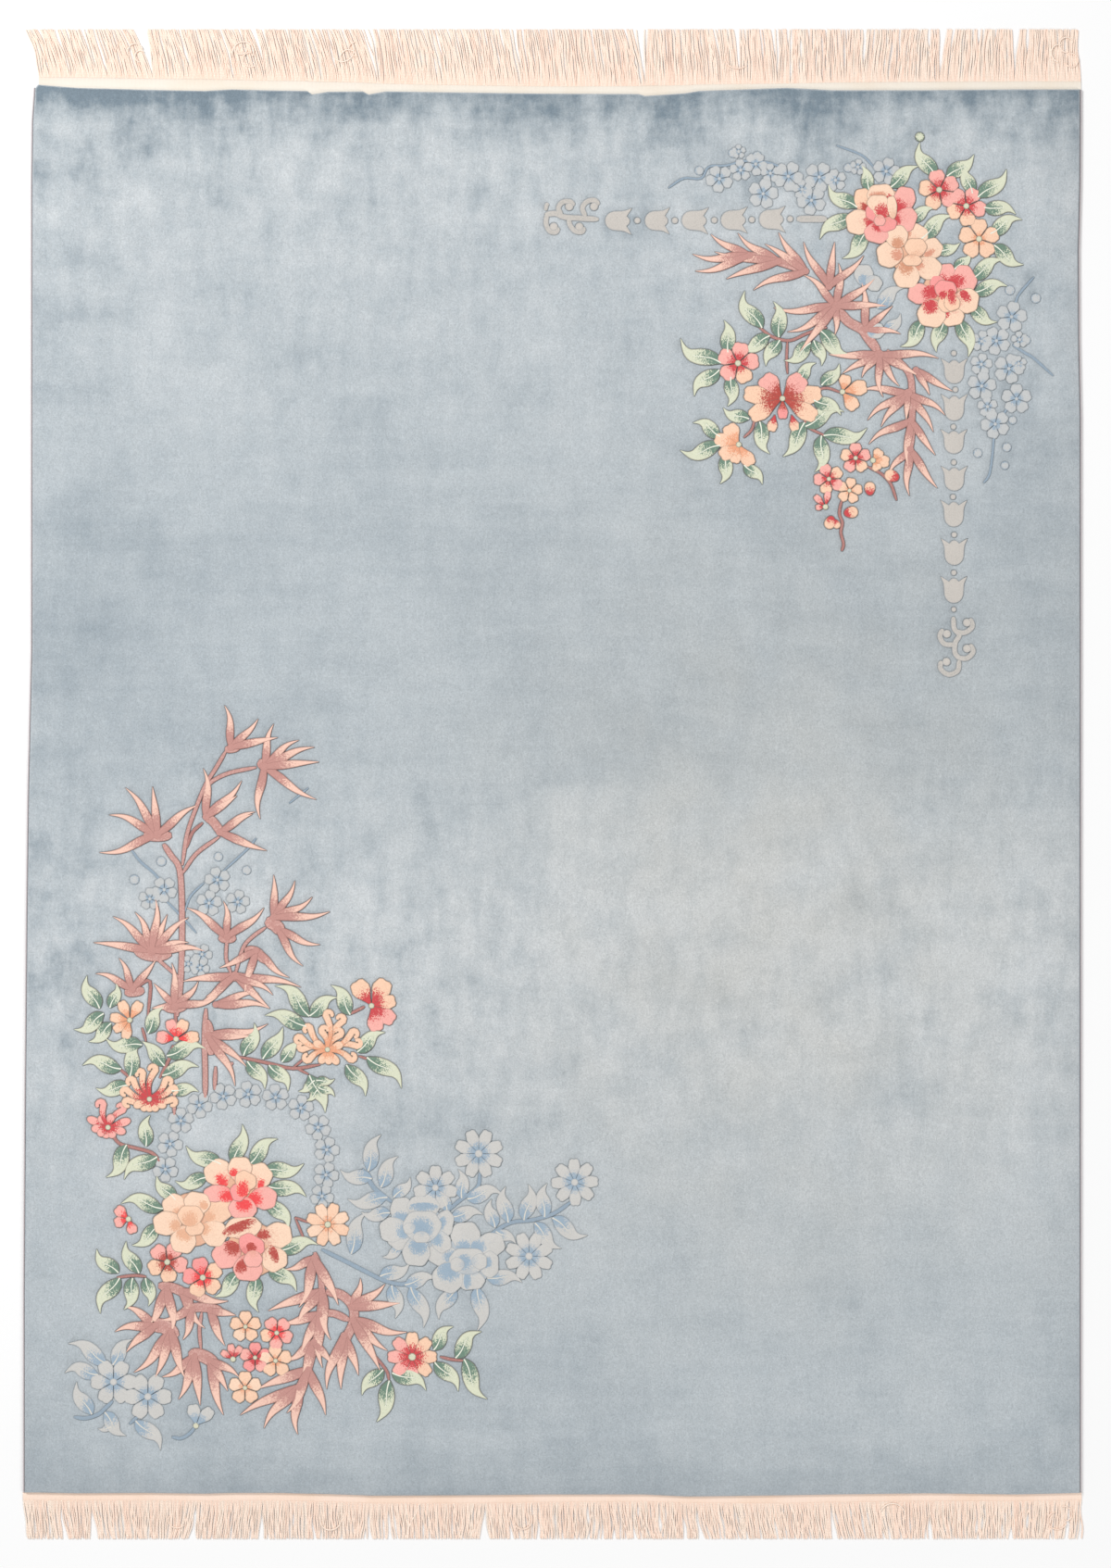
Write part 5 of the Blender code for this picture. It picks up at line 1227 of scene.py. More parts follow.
def build_bamboo(material):
    """The bamboo sprays and every stalk."""
    tufts = Tufts()
    stalks = (
        (TWIGS, TWIG_DARK, TWIG_LIGHT),
        (TRUNKS, TRUNK_DARK, TRUNK_LIGHT),
        (LIMBS, BLADE_DARK, TRUNK_LIGHT),
    )
    for rows, dark, light in stalks:
        for row in rows:
            add_path(tufts, *row, dark, light, 0.3, STALK_CREST)
    for row in SPRAYS:
        add_spray(tufts, *row, BLADE_HALF_WIDTH, RELIEF)
    for row in HANGING_SPRAYS:
        add_spray(tufts, *row, HANGING_HALF_WIDTH, RELIEF)
    return tufts.make("bamboo", material)


def build_ornament(material):
    """The cream rows of bells, beads, bars and scrolls."""
    tufts = Tufts()
    for row in SCROLLS:
        add_path(tufts, *row, STONE, STONE_LIGHT, 0.45, LOW_RELIEF, steps=6)
    for row in BELLS:
        add_bell(tufts, *row, BELL_CREST)
    for row in BEADS:
        add_bud(tufts, *row, STONE, STONE_LIGHT, BEAD_CREST)
    return tufts.make("cream_ornament", material)


def build_low_pattern(material):
    """The low pattern in blue and grey yarns close to the colour of the field."""
    tufts = Tufts()
    for row in BLUE_TWIGS:
        add_path(tufts, *row, TWIG_BLUE, MIST_BLUE, 0.3, LOW_TWIG_CREST)
    for index, row in enumerate(GREY_LEAVES):
        crest = LOW_RELIEF + (index % 3) * 0.5 * LAYER
        add_veined_leaf(tufts, row, MIST_BLUE, PALE_GREY, LOW_VEIN, crest, 0.06)
    for x, y, radius in BLUE_BLOSSOMS:
        heart = add_open_flower(tufts, x, y, 1.12 * radius, 5, 90 + 9 * x, (MIST,), MIST_BLUE,
                                LOW_BLOSSOM_CREST, 0.38, 0.8)
        add_button(tufts, heart, 0.5 * CM, LOW_BLOSSOM_BUTTON_CREST, MIST, MIST_BLUE)
    for row in BLUE_FLOWERS:
        heart = add_open_flower(tufts, *row, (PALE_GREY,), MIST_BLUE, LOW_FLOWER_CREST, 0.4, 0.76)
        add_button(tufts, heart, BUTTON_SHARE * row[2] * CM, LOW_FLOWER_BUTTON_CREST, PALE_GREY, MIST_BLUE)
    for rows in BLUE_PEONIES:
        add_peony(tufts, rows, blended(PALE_GREY, MIST_BLUE, 0.5), MIST_BLUE, LOW_FLOWER_CREST)
    for row in BLUE_TULIPS:
        add_uneven_flower(tufts, *row, LOW_FLOWER_CREST)
    for row in BLUE_BUDS:
        add_bud(tufts, *row, MIST_BLUE, MIST, LOW_RELIEF)
    return tufts.make("low_pattern", material)


# The field

# The grid of places between the motifs, and where the sides and the ends of the rim lie beyond.
GRID_COLUMNS = 92
GRID_ROWS = 122
GRID_MARGIN = 1.5 * CM
SIDES_BEYOND = 1.2
ENDS_BEYOND = 1.7


def side_x(y, side):
    """The inner edge of the left (-1) or right (+1) side cord, where the pile stops short of it."""
    edge = table_value(SIDE_ROWS, y / CM, 1 if side < 0 else 2) * CM
    return edge - side * (CORD_WIDTH + PIECE_GAP)


def pile_outline():
    """The outline of the pile, counter-clockwise from the left end of its bottom edge."""
    def end_edge(column):
        """One end of the pile, left to right, from side to side."""
        corner_y = END_ROWS[0][column] * CM
        left = side_x(corner_y, -1)
        right = side_x(corner_y, 1)
        inner_rows = [row for row in END_ROWS if left < row[0] * CM < right]
        edge = [Vector((left, corner_y))]
        edge += [in_metres(row[0], row[column]) for row in inner_rows]
        edge.append(Vector((right, END_ROWS[-1][column] * CM)))
        return edge

    inner_sides = SIDE_ROWS[1:-1]
    outline = end_edge(3)
    outline += [Vector((side_x(row[0] * CM, 1), row[0] * CM)) for row in inner_sides]
    outline += list(reversed(end_edge(2)))
    outline += [Vector((side_x(row[0] * CM, -1), row[0] * CM)) for row in reversed(inner_sides)]
    return outline


def drawn_in(outline, inset):
    """The outline moved inwards by the same distance on every side."""
    half_width = max(point.x for point in outline)
    half_length = max(point.y for point in outline)
    return [Vector((point.x * (1 - inset / half_width), point.y * (1 - inset / half_length)))
            for point in outline]


def widened(outline, distance):
    """An outline moved outwards by a distance, as an array of places."""
    places = np.array([tuple(place) for place in outline])
    following = np.roll(places, -1, axis=0)
    area = np.sum(places[:, 0] * following[:, 1] - following[:, 0] * places[:, 1])
    edges = following - places
    lengths = np.maximum(np.linalg.norm(edges, axis=1, keepdims=True), 1e-9)
    normals = np.stack((edges[:, 1], -edges[:, 0]), axis=1) / lengths * (1 if area > 0 else -1)
    before = np.roll(normals, 1, axis=0)
    spread = np.maximum(1 + np.sum(normals * before, axis=1, keepdims=True), 0.7)
    return places + (normals + before) / spread * distance


def outline_distances(spots, corners):
    """How far each spot is from an outline, and whether it lies within."""
    spots = spots[:, None, :]
    starts = corners[None, :, :]
    ends = np.roll(corners, -1, axis=0)[None, :, :]
    spans = ends - starts
    shares = np.sum((spots - starts) * spans, axis=2) / np.maximum(np.sum(spans * spans, axis=2), 1e-12)
    closest = starts + np.clip(shares, 0, 1)[:, :, None] * spans
    distances = np.sqrt(np.sum((spots - closest) ** 2, axis=2)).min(axis=1)
    crosses = (starts[:, :, 1] > spots[:, :, 1]) != (ends[:, :, 1] > spots[:, :, 1])
    rises = np.where(np.abs(spans[:, :, 1]) < 1e-12, 1e-12, spans[:, :, 1])
    crossings = starts[:, :, 0] + (spots[:, :, 1] - starts[:, :, 1]) / rises * spans[:, :, 0]
    inside = np.sum(crosses & (spots[:, :, 0] < crossings), axis=1) % 2 == 1
    return distances, inside


def groove_depths(places):
    """How deep each place lies in the carving, 1 under a motif and 0 away from it, and how much painted shade
    darkens it.
    """
    depths = np.zeros(len(places))
    shades = np.zeros(len(places))
    for silhouette, groove in SILHOUETTES:
        corners = np.array([tuple(corner) for corner in silhouette])
        low = corners.min(axis=0) - GROOVE_WIDTH
        high = corners.max(axis=0) + GROOVE_WIDTH
        near = np.flatnonzero(np.all((places > low) & (places < high), axis=1))
        if len(near) == 0:
            continue
        distances, inside = outline_distances(places[near], corners)
        depth = np.where(inside, 1.0, np.clip(1.1 - distances / GROOVE_WIDTH, 0, 1))
        depths[near] = np.maximum(depths[near], depth)
        shades[near] = np.maximum(shades[near], depth * groove)
    return depths, shades


def nap_sheen_shades(places):
    """How light the painted sheen and shade of the nap are at each place, and how unrestful the nap is."""
    rows = np.array(NAP_SHEEN_ROWS)
    shades = np.interp(places[:, 1] / CM, rows[:, 0], rows[:, 1])
    unrest = np.interp(places[:, 1] / CM, rows[:, 0], rows[:, 2])
    for x, y, reach_x, reach_y, strength in NAP_SHEEN_PATCHES:
        away = ((places[:, 0] / CM - x) / reach_x) ** 2 + ((places[:, 1] / CM - y) / reach_y) ** 2
        shades += strength * np.exp(-away)
    return shades, unrest


def yellowed_shares(places):
    """How much each place has yellowed."""
    x, y, reach_x, reach_y = YELLOWED
    return np.exp(-((places[:, 0] / CM - x) / reach_x) ** 2 - ((places[:, 1] / CM - y) / reach_y) ** 2)


def swell_heights(places):
    """The soft unevenness of the field and its creases."""
    x = places[:, 0]
    y = places[:, 1]
    heights = 0.25 * MM * np.sin(9.0 * x + 2.0 * np.sin(3.1 * y)) * np.sin(7.0 * y + 1.3)
    for crease_x, low_y, high_y in CREASES:
        along = np.clip((y - low_y * CM) / ((high_y - low_y) * CM), 0, 1)
        across = (x - crease_x * CM - 0.6 * CM * np.sin(9.0 * y)) / (1.1 * CM)
        heights -= 1.3 * MM * np.sin(np.pi * along) * np.exp(-across ** 2)
    return heights


def field_loops():
    """The outlines and groove edges of all motifs, as loops of places."""
    loops = []
    for silhouette, groove in SILHOUETTES:
        loops.append([Vector(place) for place in widened(silhouette, -0.2 * MM)])
        loops.append([Vector(place) for place in widened(silhouette, GROOVE_WIDTH)])
    return loops


def divide_field(rim):
    """Divide the top of the pile along the carving. Gives places, triangles and which places are the rim."""
    points = list(rim)
    edges = []
    for loop in field_loops():
        start = len(points)
        points += loop
        edges += [(start + index, start + (index + 1) % len(loop)) for index in range(len(loop))]
    half_width = min(abs(place.x) for place in rim if abs(place.x) > SIDES_BEYOND) - GRID_MARGIN
    half_length = min(abs(place.y) for place in rim if abs(place.y) > ENDS_BEYOND) - GRID_MARGIN
    across = np.linspace(-half_width, half_width, GRID_COLUMNS)
    along = np.linspace(-half_length, half_length, GRID_ROWS)
    points += [Vector((x, y + 0.7 * CM * (index % 2))) for index, x in enumerate(across) for y in along]
    result = delaunay_2d_cdt(points, edges, [list(range(len(rim)))], 1, 0.5 * MM)
    rim_places = {}
    for place, sources in enumerate(result[3]):
        for source in sources:
            if source < len(rim):
                rim_places[source] = place
    places = np.array([tuple(place) for place in result[0]])
    return places, result[2], [rim_places[index] for index in range(len(rim))]


def rim_faces(rings):
    """The faces of the rounded rim, and the flat underside within its lowest ring."""
    faces = [list(reversed(rings[0]))]
    count = len(rings[0])
    for low_ring, high_ring in zip(rings, rings[1:]):
        for index in range(count):
            following = (index + 1) % count
            faces.append([low_ring[index], low_ring[following], high_ring[following], high_ring[index]])
    return faces


def build_field(material):
    """The knotted pile between the motifs: one closed cloth with a rounded rim and carved grooves."""
    outline = pile_outline()
    rings = [drawn_in(outline, inset) for inset, height in RIM_PROFILE]
    places, triangles, rim_places = divide_field(rings[-1])
    depths, shades = groove_depths(places)
    heights = PILE_TOP + swell_heights(places) * (depths < 0.5) - depths * (PILE_TOP - GROOVE_FLOOR)
    heights[rim_places] = PILE_TOP
    points = list(zip(places[:, 0], places[:, 1], heights))
    ring_places = []
    for ring, (inset, height) in zip(rings[:-1], RIM_PROFILE):
        ring_places.append(list(range(len(points), len(points) + len(ring))))
        points += [(place.x, place.y, height) for place in ring]
    ring_places.append(rim_places)
    faces = [list(triangle) for triangle in triangles] + rim_faces(ring_places)
    field = make_piece("field", points, faces, material, smooth_angle=math.radians(60))
    nap, unrest = nap_sheen_shades(places)
    # carved carries the painted shade of the grooves, nap the painted sheen and shade of how the pile lies.
    carried = {"carved": shades, "nap": nap, "unrest": unrest, "yellowed": yellowed_shares(places)}
    for name, values in carried.items():
        carry_numbers(field, name, np.concatenate((values, np.zeros(len(points) - len(places)))))
    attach(field, "root")
    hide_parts("pile_field")
    return field


# Cords, bands and fringe

# Round a cord: share of its width from the outer edge, share of its height.
CORD_PROFILE = ((0.12, 0.0), (0.88, 0.0), (1.0, 0.35), (0.82, 0.82), (0.5, 1.0), (0.18, 0.82), (0.0, 0.35))
# Across a band from the pile outwards: share of its width, share of its height, how ribbed it is there.
BAND_SECTION = (
    (0.0, 0.0, 0), (0.0, 0.86, 0), (0.3, 0.97, 0.25), (0.7, 1.0, 0.5), (0.94, 0.95, 1), (1.0, 0.55, 1),
    (1.0, 0.0, 1),
)


def build_side_cord(name, node, side, material):
    """The overcast cord along one side, with a ridge for each wrap of the yarn."""
    column = 1 if side < 0 else 2
    corner = END_ROWS[0 if side < 0 else -1]
    low_y = corner[3] * CM
    high_y = corner[2] * CM
    stations = int((high_y - low_y) / (WRAP_PITCH / 2))
    points = []
    wraps = []
    for station in range(stations + 1):
        y = low_y + (high_y - low_y) * station / stations
        outer = table_value(SIDE_ROWS, y / CM, column) * CM
        ridge = 1.0 if station % 2 else 0.84
        for share, height in CORD_PROFILE:
            swell = 0.5 + (share - 0.5) * (1.0 if height == 0.0 else 0.92 + 0.08 * ridge)
            slant = 0.0 if station in (0, stations) else (share - 0.5) * 0.6 * WRAP_PITCH
            points.append((outer - side * swell * CORD_WIDTH, y + slant, height * CORD_HEIGHT * ridge))
            wraps.append(1.0 if station % 2 else 0.0)
    faces = tube_faces(stations + 1, len(CORD_PROFILE))
    cord = make_piece(name, points, faces, material, smooth_angle=math.radians(70))
    carry_numbers(cord, "wrap", wraps)
    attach(cord, "root")
    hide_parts(node)
    return cord


class FringeEnd:
    """One end of the rug: where its band lies and how its warps lean and part."""

    def __init__(self, end, left, right, leans, partings):
        self.end = end
        self.left = left
        self.right = right
        self.leans = leans
        self.pile_column = 2 if end > 0 else 3
        self.band_column = 1 if end > 0 else 4
        pitch = (right - left) / LOCKS_PER_END
        borders = [left + pitch * index for index in range(LOCKS_PER_END + 1)]
        self.partings = [(min(borders, key=lambda border: abs(border - centre)), opening)
                         for centre, opening in partings]

    def shifted_x(self, x, reach):
        """Where a root at x ends up at a share of the fringe's length, in centimetres."""
        shift = table_value(self.leans, x, 1)
        for centre, half_opening in self.partings:
            push = half_opening * math.exp(-abs(x - centre) / PARTING_SPREAD)
            shift += push if x > centre else -push
        return x + shift * reach

    def root_y(self, x):
        """The outer edge of the band at x, in metres."""
        return table_value(END_ROWS, x, self.band_column) * CM

    def inner_y(self, x):
        """The inner edge of the band at x, in metres."""
        return table_value(END_ROWS, x, self.pile_column) * CM + self.end * PIECE_GAP


# Stray threads that arch over the fringe: end, x, y, radius, first direction and turn in degrees.
STRAY_LOOPS = (
    (1, -107.6, 189.6, 1.6, 20, 190), (1, -106.4, 188.4, 1.2, 60, 200), (1, -79.6, 189.2, 2.2, -30, 230),
    (1, -78.2, 187.6, 1.5, 80, 220), (1, -80.8, 190.4, 1.3, 150, 200), (1, -54.6, 189.6, 2.4, 200, 210),
    (1, -52.4, 187.8, 1.8, 20, 200), (1, -50.8, 190.4, 1.5, 100, 180), (1, 47.4, 188.6, 2.6, 170, 140),
    (1, 133.2, 191.4, 1.5, 10, 260), (1, 134.2, 187.0, 1.4, 200, 270), (1, 131.4, 189.4, 1.8, 80, 180),
    (-1, -57.8, -190.2, 2.3, 190, 200), (-1, -8.0, -190.4, 2.0, 200, 200), (-1, 88.6, -189.4, 2.6, 10, 150),
    (-1, 130.4, -190.2, 1.9, 100, 240), (-1, 132.6, -189.0, 1.5, 250, 220),
    (-1, -97.4, -190.0, 1.8, 160, 160),
)


# How the strands lie: how many gather in a clump, how far it draws them together and swings, how far each
# swings by itself, how many stray and how far, how much shorter some are than the longest, how far within
# the band they start, and how many millimetres they rise over the others. A swing starts anywhere in a turn.
CLUMP_SIZES = (4, 11)
CLUMP_PULL = 0.2
CLUMP_SWING = (0.05, 0.4)
OWN_SWING = (0.03, 0.16)
STRAYING_SHARE = 0.14
STRAYING_SPREAD = 1.1
USUAL_SPREAD = 0.14
SHORTFALL = 0.9 * MM
BAND_OVERLAP = 4 * MM
LIFTS = (0.0, 0.0, 0.9, 1.7)
FULL_TURN = 6.3


class Clump:
    """Strands next to one another that gather and swing together."""

    def __init__(self, fringe, chance, first, pitch):
        self.first = first
        self.size = min(chance.randint(*CLUMP_SIZES), STRANDS_PER_END - first)
        self.middle = fringe.left + pitch * (first + self.size / 2)
        self.pull = chance.uniform(0.0, CLUMP_PULL)
        self.phase = chance.uniform(0, FULL_TURN)
        self.swing = chance.uniform(*CLUMP_SWING)


def strand_path(fringe, chance, root_x, clump):
    """The path of one strand, which goes with its clump and also swings by itself."""
    own_phase = chance.uniform(0, FULL_TURN)
    own_swing = chance.uniform(*OWN_SWING)
    stray = chance.gauss(0, STRAYING_SPREAD if chance.random() < STRAYING_SHARE else USUAL_SPREAD)
    lift = chance.choice(LIFTS) * MM
    tip_y = fringe.end * (FRINGE_TIP_Y * CM - abs(chance.gauss(0, SHORTFALL)))
    start_y = fringe.root_y(root_x) - fringe.end * BAND_OVERLAP
    path = []
    for step in range(STRAND_STEPS + 1):
        reach = step / STRAND_STEPS
        x = fringe.shifted_x(root_x, reach ** 1.3)
        x += (clump.middle - root_x) * clump.pull * reach ** 1.4 + stray * reach
        x += clump.swing * reach * math.sin(5.0 * reach + clump.phase)
        x += own_swing * math.sin(9.0 * reach + own_phase) * min(3 * reach, 1)
        z = STRAND_RADIUS + 0.1 * MM + lift * math.sin(math.pi * min(reach * 1.1, 1)) ** 0.7
        path.append(Vector((x * CM, start_y + (tip_y - start_y) * reach, z)))
    return path


def strand_paths(fringe, chance):
    """The paths of the twisted strands, from left to right."""
    paths = []
    pitch = (fringe.right - fringe.left) / STRANDS_PER_END
    while len(paths) < STRANDS_PER_END:
        clump = Clump(fringe, chance, len(paths), pitch)
        for member in range(clump.size):
            root_x = fringe.left + pitch * (clump.first + member + 0.5)
            paths.append(strand_path(fringe, chance, root_x, clump))
    return paths


def stray_paths(fringe):
    """The threads that arch over the others."""
    paths = []
    for end, x, y, radius, first, turn in STRAY_LOOPS:
        if end != fringe.end:
            continue
        path = []
        for step in range(STRAND_STEPS + 1):
            reach = step / STRAND_STEPS
            spot = in_metres(x, y) + heading(first + turn * reach) * radius * (1 + 0.5 * reach) * CM
            z = 2.6 * STRAND_RADIUS + 0.8 * MM * math.sin(math.pi * reach)
            path.append(Vector((spot.x, spot.y, z)))
        paths.append(path)
    return paths


def strand_rings(path):
    """The points round a strand, and for each its place round the strand and the length travelled."""
    points = []
    twists = []
    travelled = 0.0
    for step, place in enumerate(path):
        before = path[max(step - 1, 0)]
        after = path[min(step + 1, len(path) - 1)]
        direction = (after - before).normalized()
        across = direction.cross(Vector((0, 0, 1))).normalized()
        up = across.cross(direction)
        travelled += (place - before).length
        radius = STRAND_RADIUS * (0.8 if step == len(path) - 1 else 1.0)
        for side in range(STRAND_SIDES):
            angle = 2 * math.pi * side / STRAND_SIDES
            points.append(place + (across * math.cos(angle) + up * math.sin(angle)) * radius)
            twists.append((math.cos(angle), math.sin(angle), travelled))
    return points, twists


def build_strands(name, node, fringe, seed, material):
    """The loose warps at one end, each a twisted strand."""
    chance = random.Random(seed)
    points = []
    faces = []
    twists = []
    shades = []
    for path in strand_paths(fringe, chance) + stray_paths(fringe):
        start = len(points)
        rings, turns = strand_rings(path)
        points += rings
        twists += turns
        shades += [chance.uniform(-1, 1)] * len(rings)
        faces += [[start + corner for corner in face] for face in tube_faces(len(path), STRAND_SIDES)]
    strands = make_piece(name, points, faces, material, smooth_angle=math.radians(80))
    carry_vectors(strands, "twist", twists)
    carry_numbers(strands, "shade", shades)
    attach(strands, "root")
    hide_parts(node)
    return strands


def build_band(name, node, fringe, material):
    """The flat-woven band at one end, ribbed where its warps gather into strands."""
    columns = 2 * STRANDS_PER_END
    points = []
    ribs = []
    for column in range(columns + 1):
        x = fringe.left + (fringe.right - fringe.left) * column / columns
        inner = fringe.inner_y(x)
        outer = fringe.root_y(x)
        rib = column % 2
        for reach, height, ribbed in BAND_SECTION:
            z = BAND_HEIGHT * height * (1 - 0.3 * ribbed * (1 - rib))
            points.append((x * CM, inner + (outer - inner) * reach, z))
            ribs.append(ribbed * (1 - rib))
    faces = tube_faces(columns + 1, len(BAND_SECTION))
    band = make_piece(name, points, faces, material, smooth_angle=math.radians(50))
    # rib marks the low grooves, which the band's material darkens with painted shade.
    carry_numbers(band, "rib", ribs)
    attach(band, "root")
    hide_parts(node)
    return band


# Materials

class Graph:
    """A material's nodes, added and joined by name."""

    def __init__(self, name):
        self.material = bpy.data.materials.new(name)
        self.material.use_nodes = True
        self.tree = self.material.node_tree
        self.shader = self.tree.nodes["Principled BSDF"]

    def node(self, kind, settings=None, **inputs):
        """Add a node, set its options and give its inputs values or other nodes' outputs."""
        node = self.tree.nodes.new(kind)
        for option, value in (settings or {}).items():
            setattr(node, option, value)
        for socket, value in inputs.items():
            self.give(node.inputs[socket], value)
        return node

    def give(self, socket, value):
        """Give an input a value or another node's output."""
        if isinstance(value, bpy.types.NodeSocket):
            self.tree.links.new(value, socket)
        elif isinstance(value, tuple) and len(value) == 3 and socket.type == "RGBA":
            socket.default_value = (*value, 1.0)
        else:
            socket.default_value = value

    def math(self, operation, first, second=0.0, third=0.0):
        """One step of arithmetic on numbers."""
        node = self.tree.nodes.new("ShaderNodeMath")
        node.operation = operation
        for socket, value in zip(node.inputs, (first, second, third)):
            self.give(socket, value)
        return node.outputs[0]

    def ramp(self, value, low, high, start=0.0, end=1.0):
        """A number eased from start to end as the value goes from low to high."""
        node = self.node("ShaderNodeMapRange", {"interpolation_type": "SMOOTHSTEP"})
        for name, given in (("Value", value), ("From Min", low), ("From Max", high), ("To Min", start),
                            ("To Max", end)):
            self.give(node.inputs[name], given)
        return node.outputs["Result"]

    def blend(self, value, low, high, start=0.0, end=1.0):
        """A number that goes evenly from start to end as the value goes from low to high."""
        node = self.node("ShaderNodeMapRange", Value=value)
        for name, given in (("From Min", low), ("From Max", high), ("To Min", start), ("To Max", end)):
            self.give(node.inputs[name], given)
        return node.outputs["Result"]

    def swung(self, value, strength, base):
        """A base number made larger or smaller, by how far an even noise is from its middle."""
        return self.math("MULTIPLY_ADD", self.math("SUBTRACT", value, 0.5), strength, base)

    def shaded(self, colour, brightness):
        """A colour made lighter or darker by a number."""
        grey = self.node("ShaderNodeCombineColor", Red=brightness, Green=brightness, Blue=brightness)
        return self.mix(1.0, colour, grey.outputs[0], "MULTIPLY")

    def mix(self, share, first, second, blend="MIX"):
        """A colour between two colours."""
        node = self.node("ShaderNodeMix", {"data_type": "RGBA", "blend_type": blend})
        self.give(node.inputs[0], share)
        self.give(node.inputs[6], first)
        self.give(node.inputs[7], second)
        return node.outputs[2]

    def number(self, name):
        """A number that the points of the piece carry."""
        return self.node("ShaderNodeAttribute", {"attribute_name": name}).outputs["Fac"]

    def colour(self, name):
        """A colour or vector that the points of the piece carry."""
        return self.node("ShaderNodeAttribute", {"attribute_name": name}).outputs["Color"]

    def places(self, scale=(1.0, 1.0, 1.0)):
        """The place on the piece, stretched by a scale."""
        spot = self.node("ShaderNodeTexCoord").outputs["Object"]
        return self.node("ShaderNodeMapping", Vector=spot, Scale=scale).outputs[0]

    def noise(self, scale, detail=2.0, stretch=(1.0, 1.0, 1.0), roughness=0.5):
        """Cloudy noise, with its grain given in features a metre."""
        node = self.node("ShaderNodeTexNoise", Vector=self.places(stretch), Scale=scale, Detail=detail,
                         Roughness=roughness)
        return node.outputs["Fac"]

    def knots(self, width, length):
        """An even random number for each knot of the pile."""
        spot = self.node("ShaderNodeTexCoord").outputs["Object"]
        snap = self.node("ShaderNodeVectorMath", {"operation": "SNAP"})
        self.give(snap.inputs[0], spot)
        self.give(snap.inputs[1], (width, length, 1.0))
        noise = self.node("ShaderNodeTexWhiteNoise", {"noise_dimensions": "2D"}, Vector=snap.outputs[0])
        return noise.outputs[0]

    def finish(self, colour, height, bump_distance, roughness, sheen):
        """Join the colour and the relief to the shader."""
        self.give(self.shader.inputs["Base Color"], colour)
        bump = self.node("ShaderNodeBump", Height=height, Distance=bump_distance, Strength=0.9)
        self.give(self.shader.inputs["Normal"], bump.outputs["Normal"])
        self.shader.inputs["Roughness"].default_value = roughness
        self.shader.inputs["Sheen Weight"].default_value = sheen
        self.shader.inputs["Sheen Roughness"].default_value = 0.5
        self.shader.inputs["Specular IOR Level"].default_value = 0.2
        return self.material


# One knot of the pile, across and along.
KNOT_SIZE = (2.9 * MM, 3.1 * MM)


def tuft_relief(graph):
    """The fine relief of cut wool: single knots and loose fibres."""
    knots = graph.knots(*KNOT_SIZE)
    clumps = graph.noise(210, 3.0)
    fibres = graph.noise(900, 2.0)
    relief = graph.math("MULTIPLY_ADD", knots, 0.35, graph.math("MULTIPLY", clumps, 0.7))
    return graph.math("MULTIPLY_ADD", fibres, 0.35, relief)


def motif_wool(name, stipple, outline, edge_shade_strength):
    """Cut wool in two yarns that give way to one another knot by knot, with painted shade along its outlines.
    """
    graph = Graph(name)
    knots = graph.knots(2.4 * MM, 2.7 * MM)
    clumps = graph.noise(210, 2.0)
    tone = graph.swung(knots, stipple, graph.number("tone"))
    tone = graph.swung(clumps, 0.9 * stipple, tone)
    share = graph.ramp(tone, 0.25, 0.75)
    wool = graph.mix(share, graph.colour("dark"), graph.colour("light"))
    brightness = graph.math("MULTIPLY_ADD", graph.noise(330, 3.0), 0.28, 0.87)
    brightness = graph.swung(graph.noise(14, 2.0), 0.12, brightness)
    wool = graph.shaded(wool, brightness)
    # Painted shade along the outlines, where the patches drop into their grooves.
    edge = graph.math("MULTIPLY", graph.number("edge"), edge_shade_strength)
    wool = graph.mix(edge, wool, outline)
    return graph.finish(wool, tuft_relief(graph), 0.9 * MM, 0.95, 0.15)


def field_wool():
    """The field's wool: its cloudy dye, painted sheen and shade of its nap, painted shade in its carved
    grooves.
    """
    graph = Graph("field_wool")
    clouds = graph.noise(2.3, 4.0, (1.0, 0.7, 1.0), 0.6)
    streaks = graph.noise(14.0, 3.0, (1.7, 0.6, 1.0), 0.6)
    rows = graph.noise(9.0, 3.0, (0.3, 2.6, 1.0), 0.65)
    patches = graph.noise(6.5, 5.0, (0.8, 1.3, 1.0), 0.68)
    # The nap, with its streaks and broken patches, is painted sheen and shade of how the pile lies; the
    # clouds are uneven dye.
    unrest = graph.number("unrest")
    broken = graph.math("MULTIPLY", graph.math("SUBTRACT", patches, 0.5), unrest)
    shade = graph.swung(clouds, 0.8, graph.number("nap"))
    shade = graph.swung(streaks, graph.math("MULTIPLY", unrest, 0.65), shade)
    shade = graph.swung(rows, 0.32, shade)
    shade = graph.math("MULTIPLY_ADD", broken, 0.9, shade)
    wool = graph.mix(graph.blend(shade, -0.8, 0.0), yarn(126, 141, 152), yarn(185, 193, 198))
    wool = graph.mix(graph.blend(shade, 0.0, 0.62), wool, yarn(207, 212, 215))
    uneven = graph.blend(graph.noise(5.0, 3.0), 0.25, 0.7, 0.2, 0.5)
    yellow = graph.math("MULTIPLY", graph.number("yellowed"), uneven)
    wool = graph.mix(yellow, wool, yarn(199, 196, 188))
    brightness = graph.math("MULTIPLY_ADD", graph.noise(300, 3.0), 0.42, 0.79)
    brightness = graph.swung(graph.noise(130, 2.0, (1.6, 0.5, 1.0)), 0.2, brightness)
    brightness = graph.swung(graph.knots(*KNOT_SIZE), 0.12, brightness)
    wool = graph.shaded(wool, brightness)
    # Painted shade in the carved grooves.
    groove = graph.math("MULTIPLY", graph.number("carved"), 0.8)
    wool = graph.mix(groove, wool, yarn(128, 136, 140))
    return graph.finish(wool, tuft_relief(graph), 1.0 * MM, 0.96, 0.2)


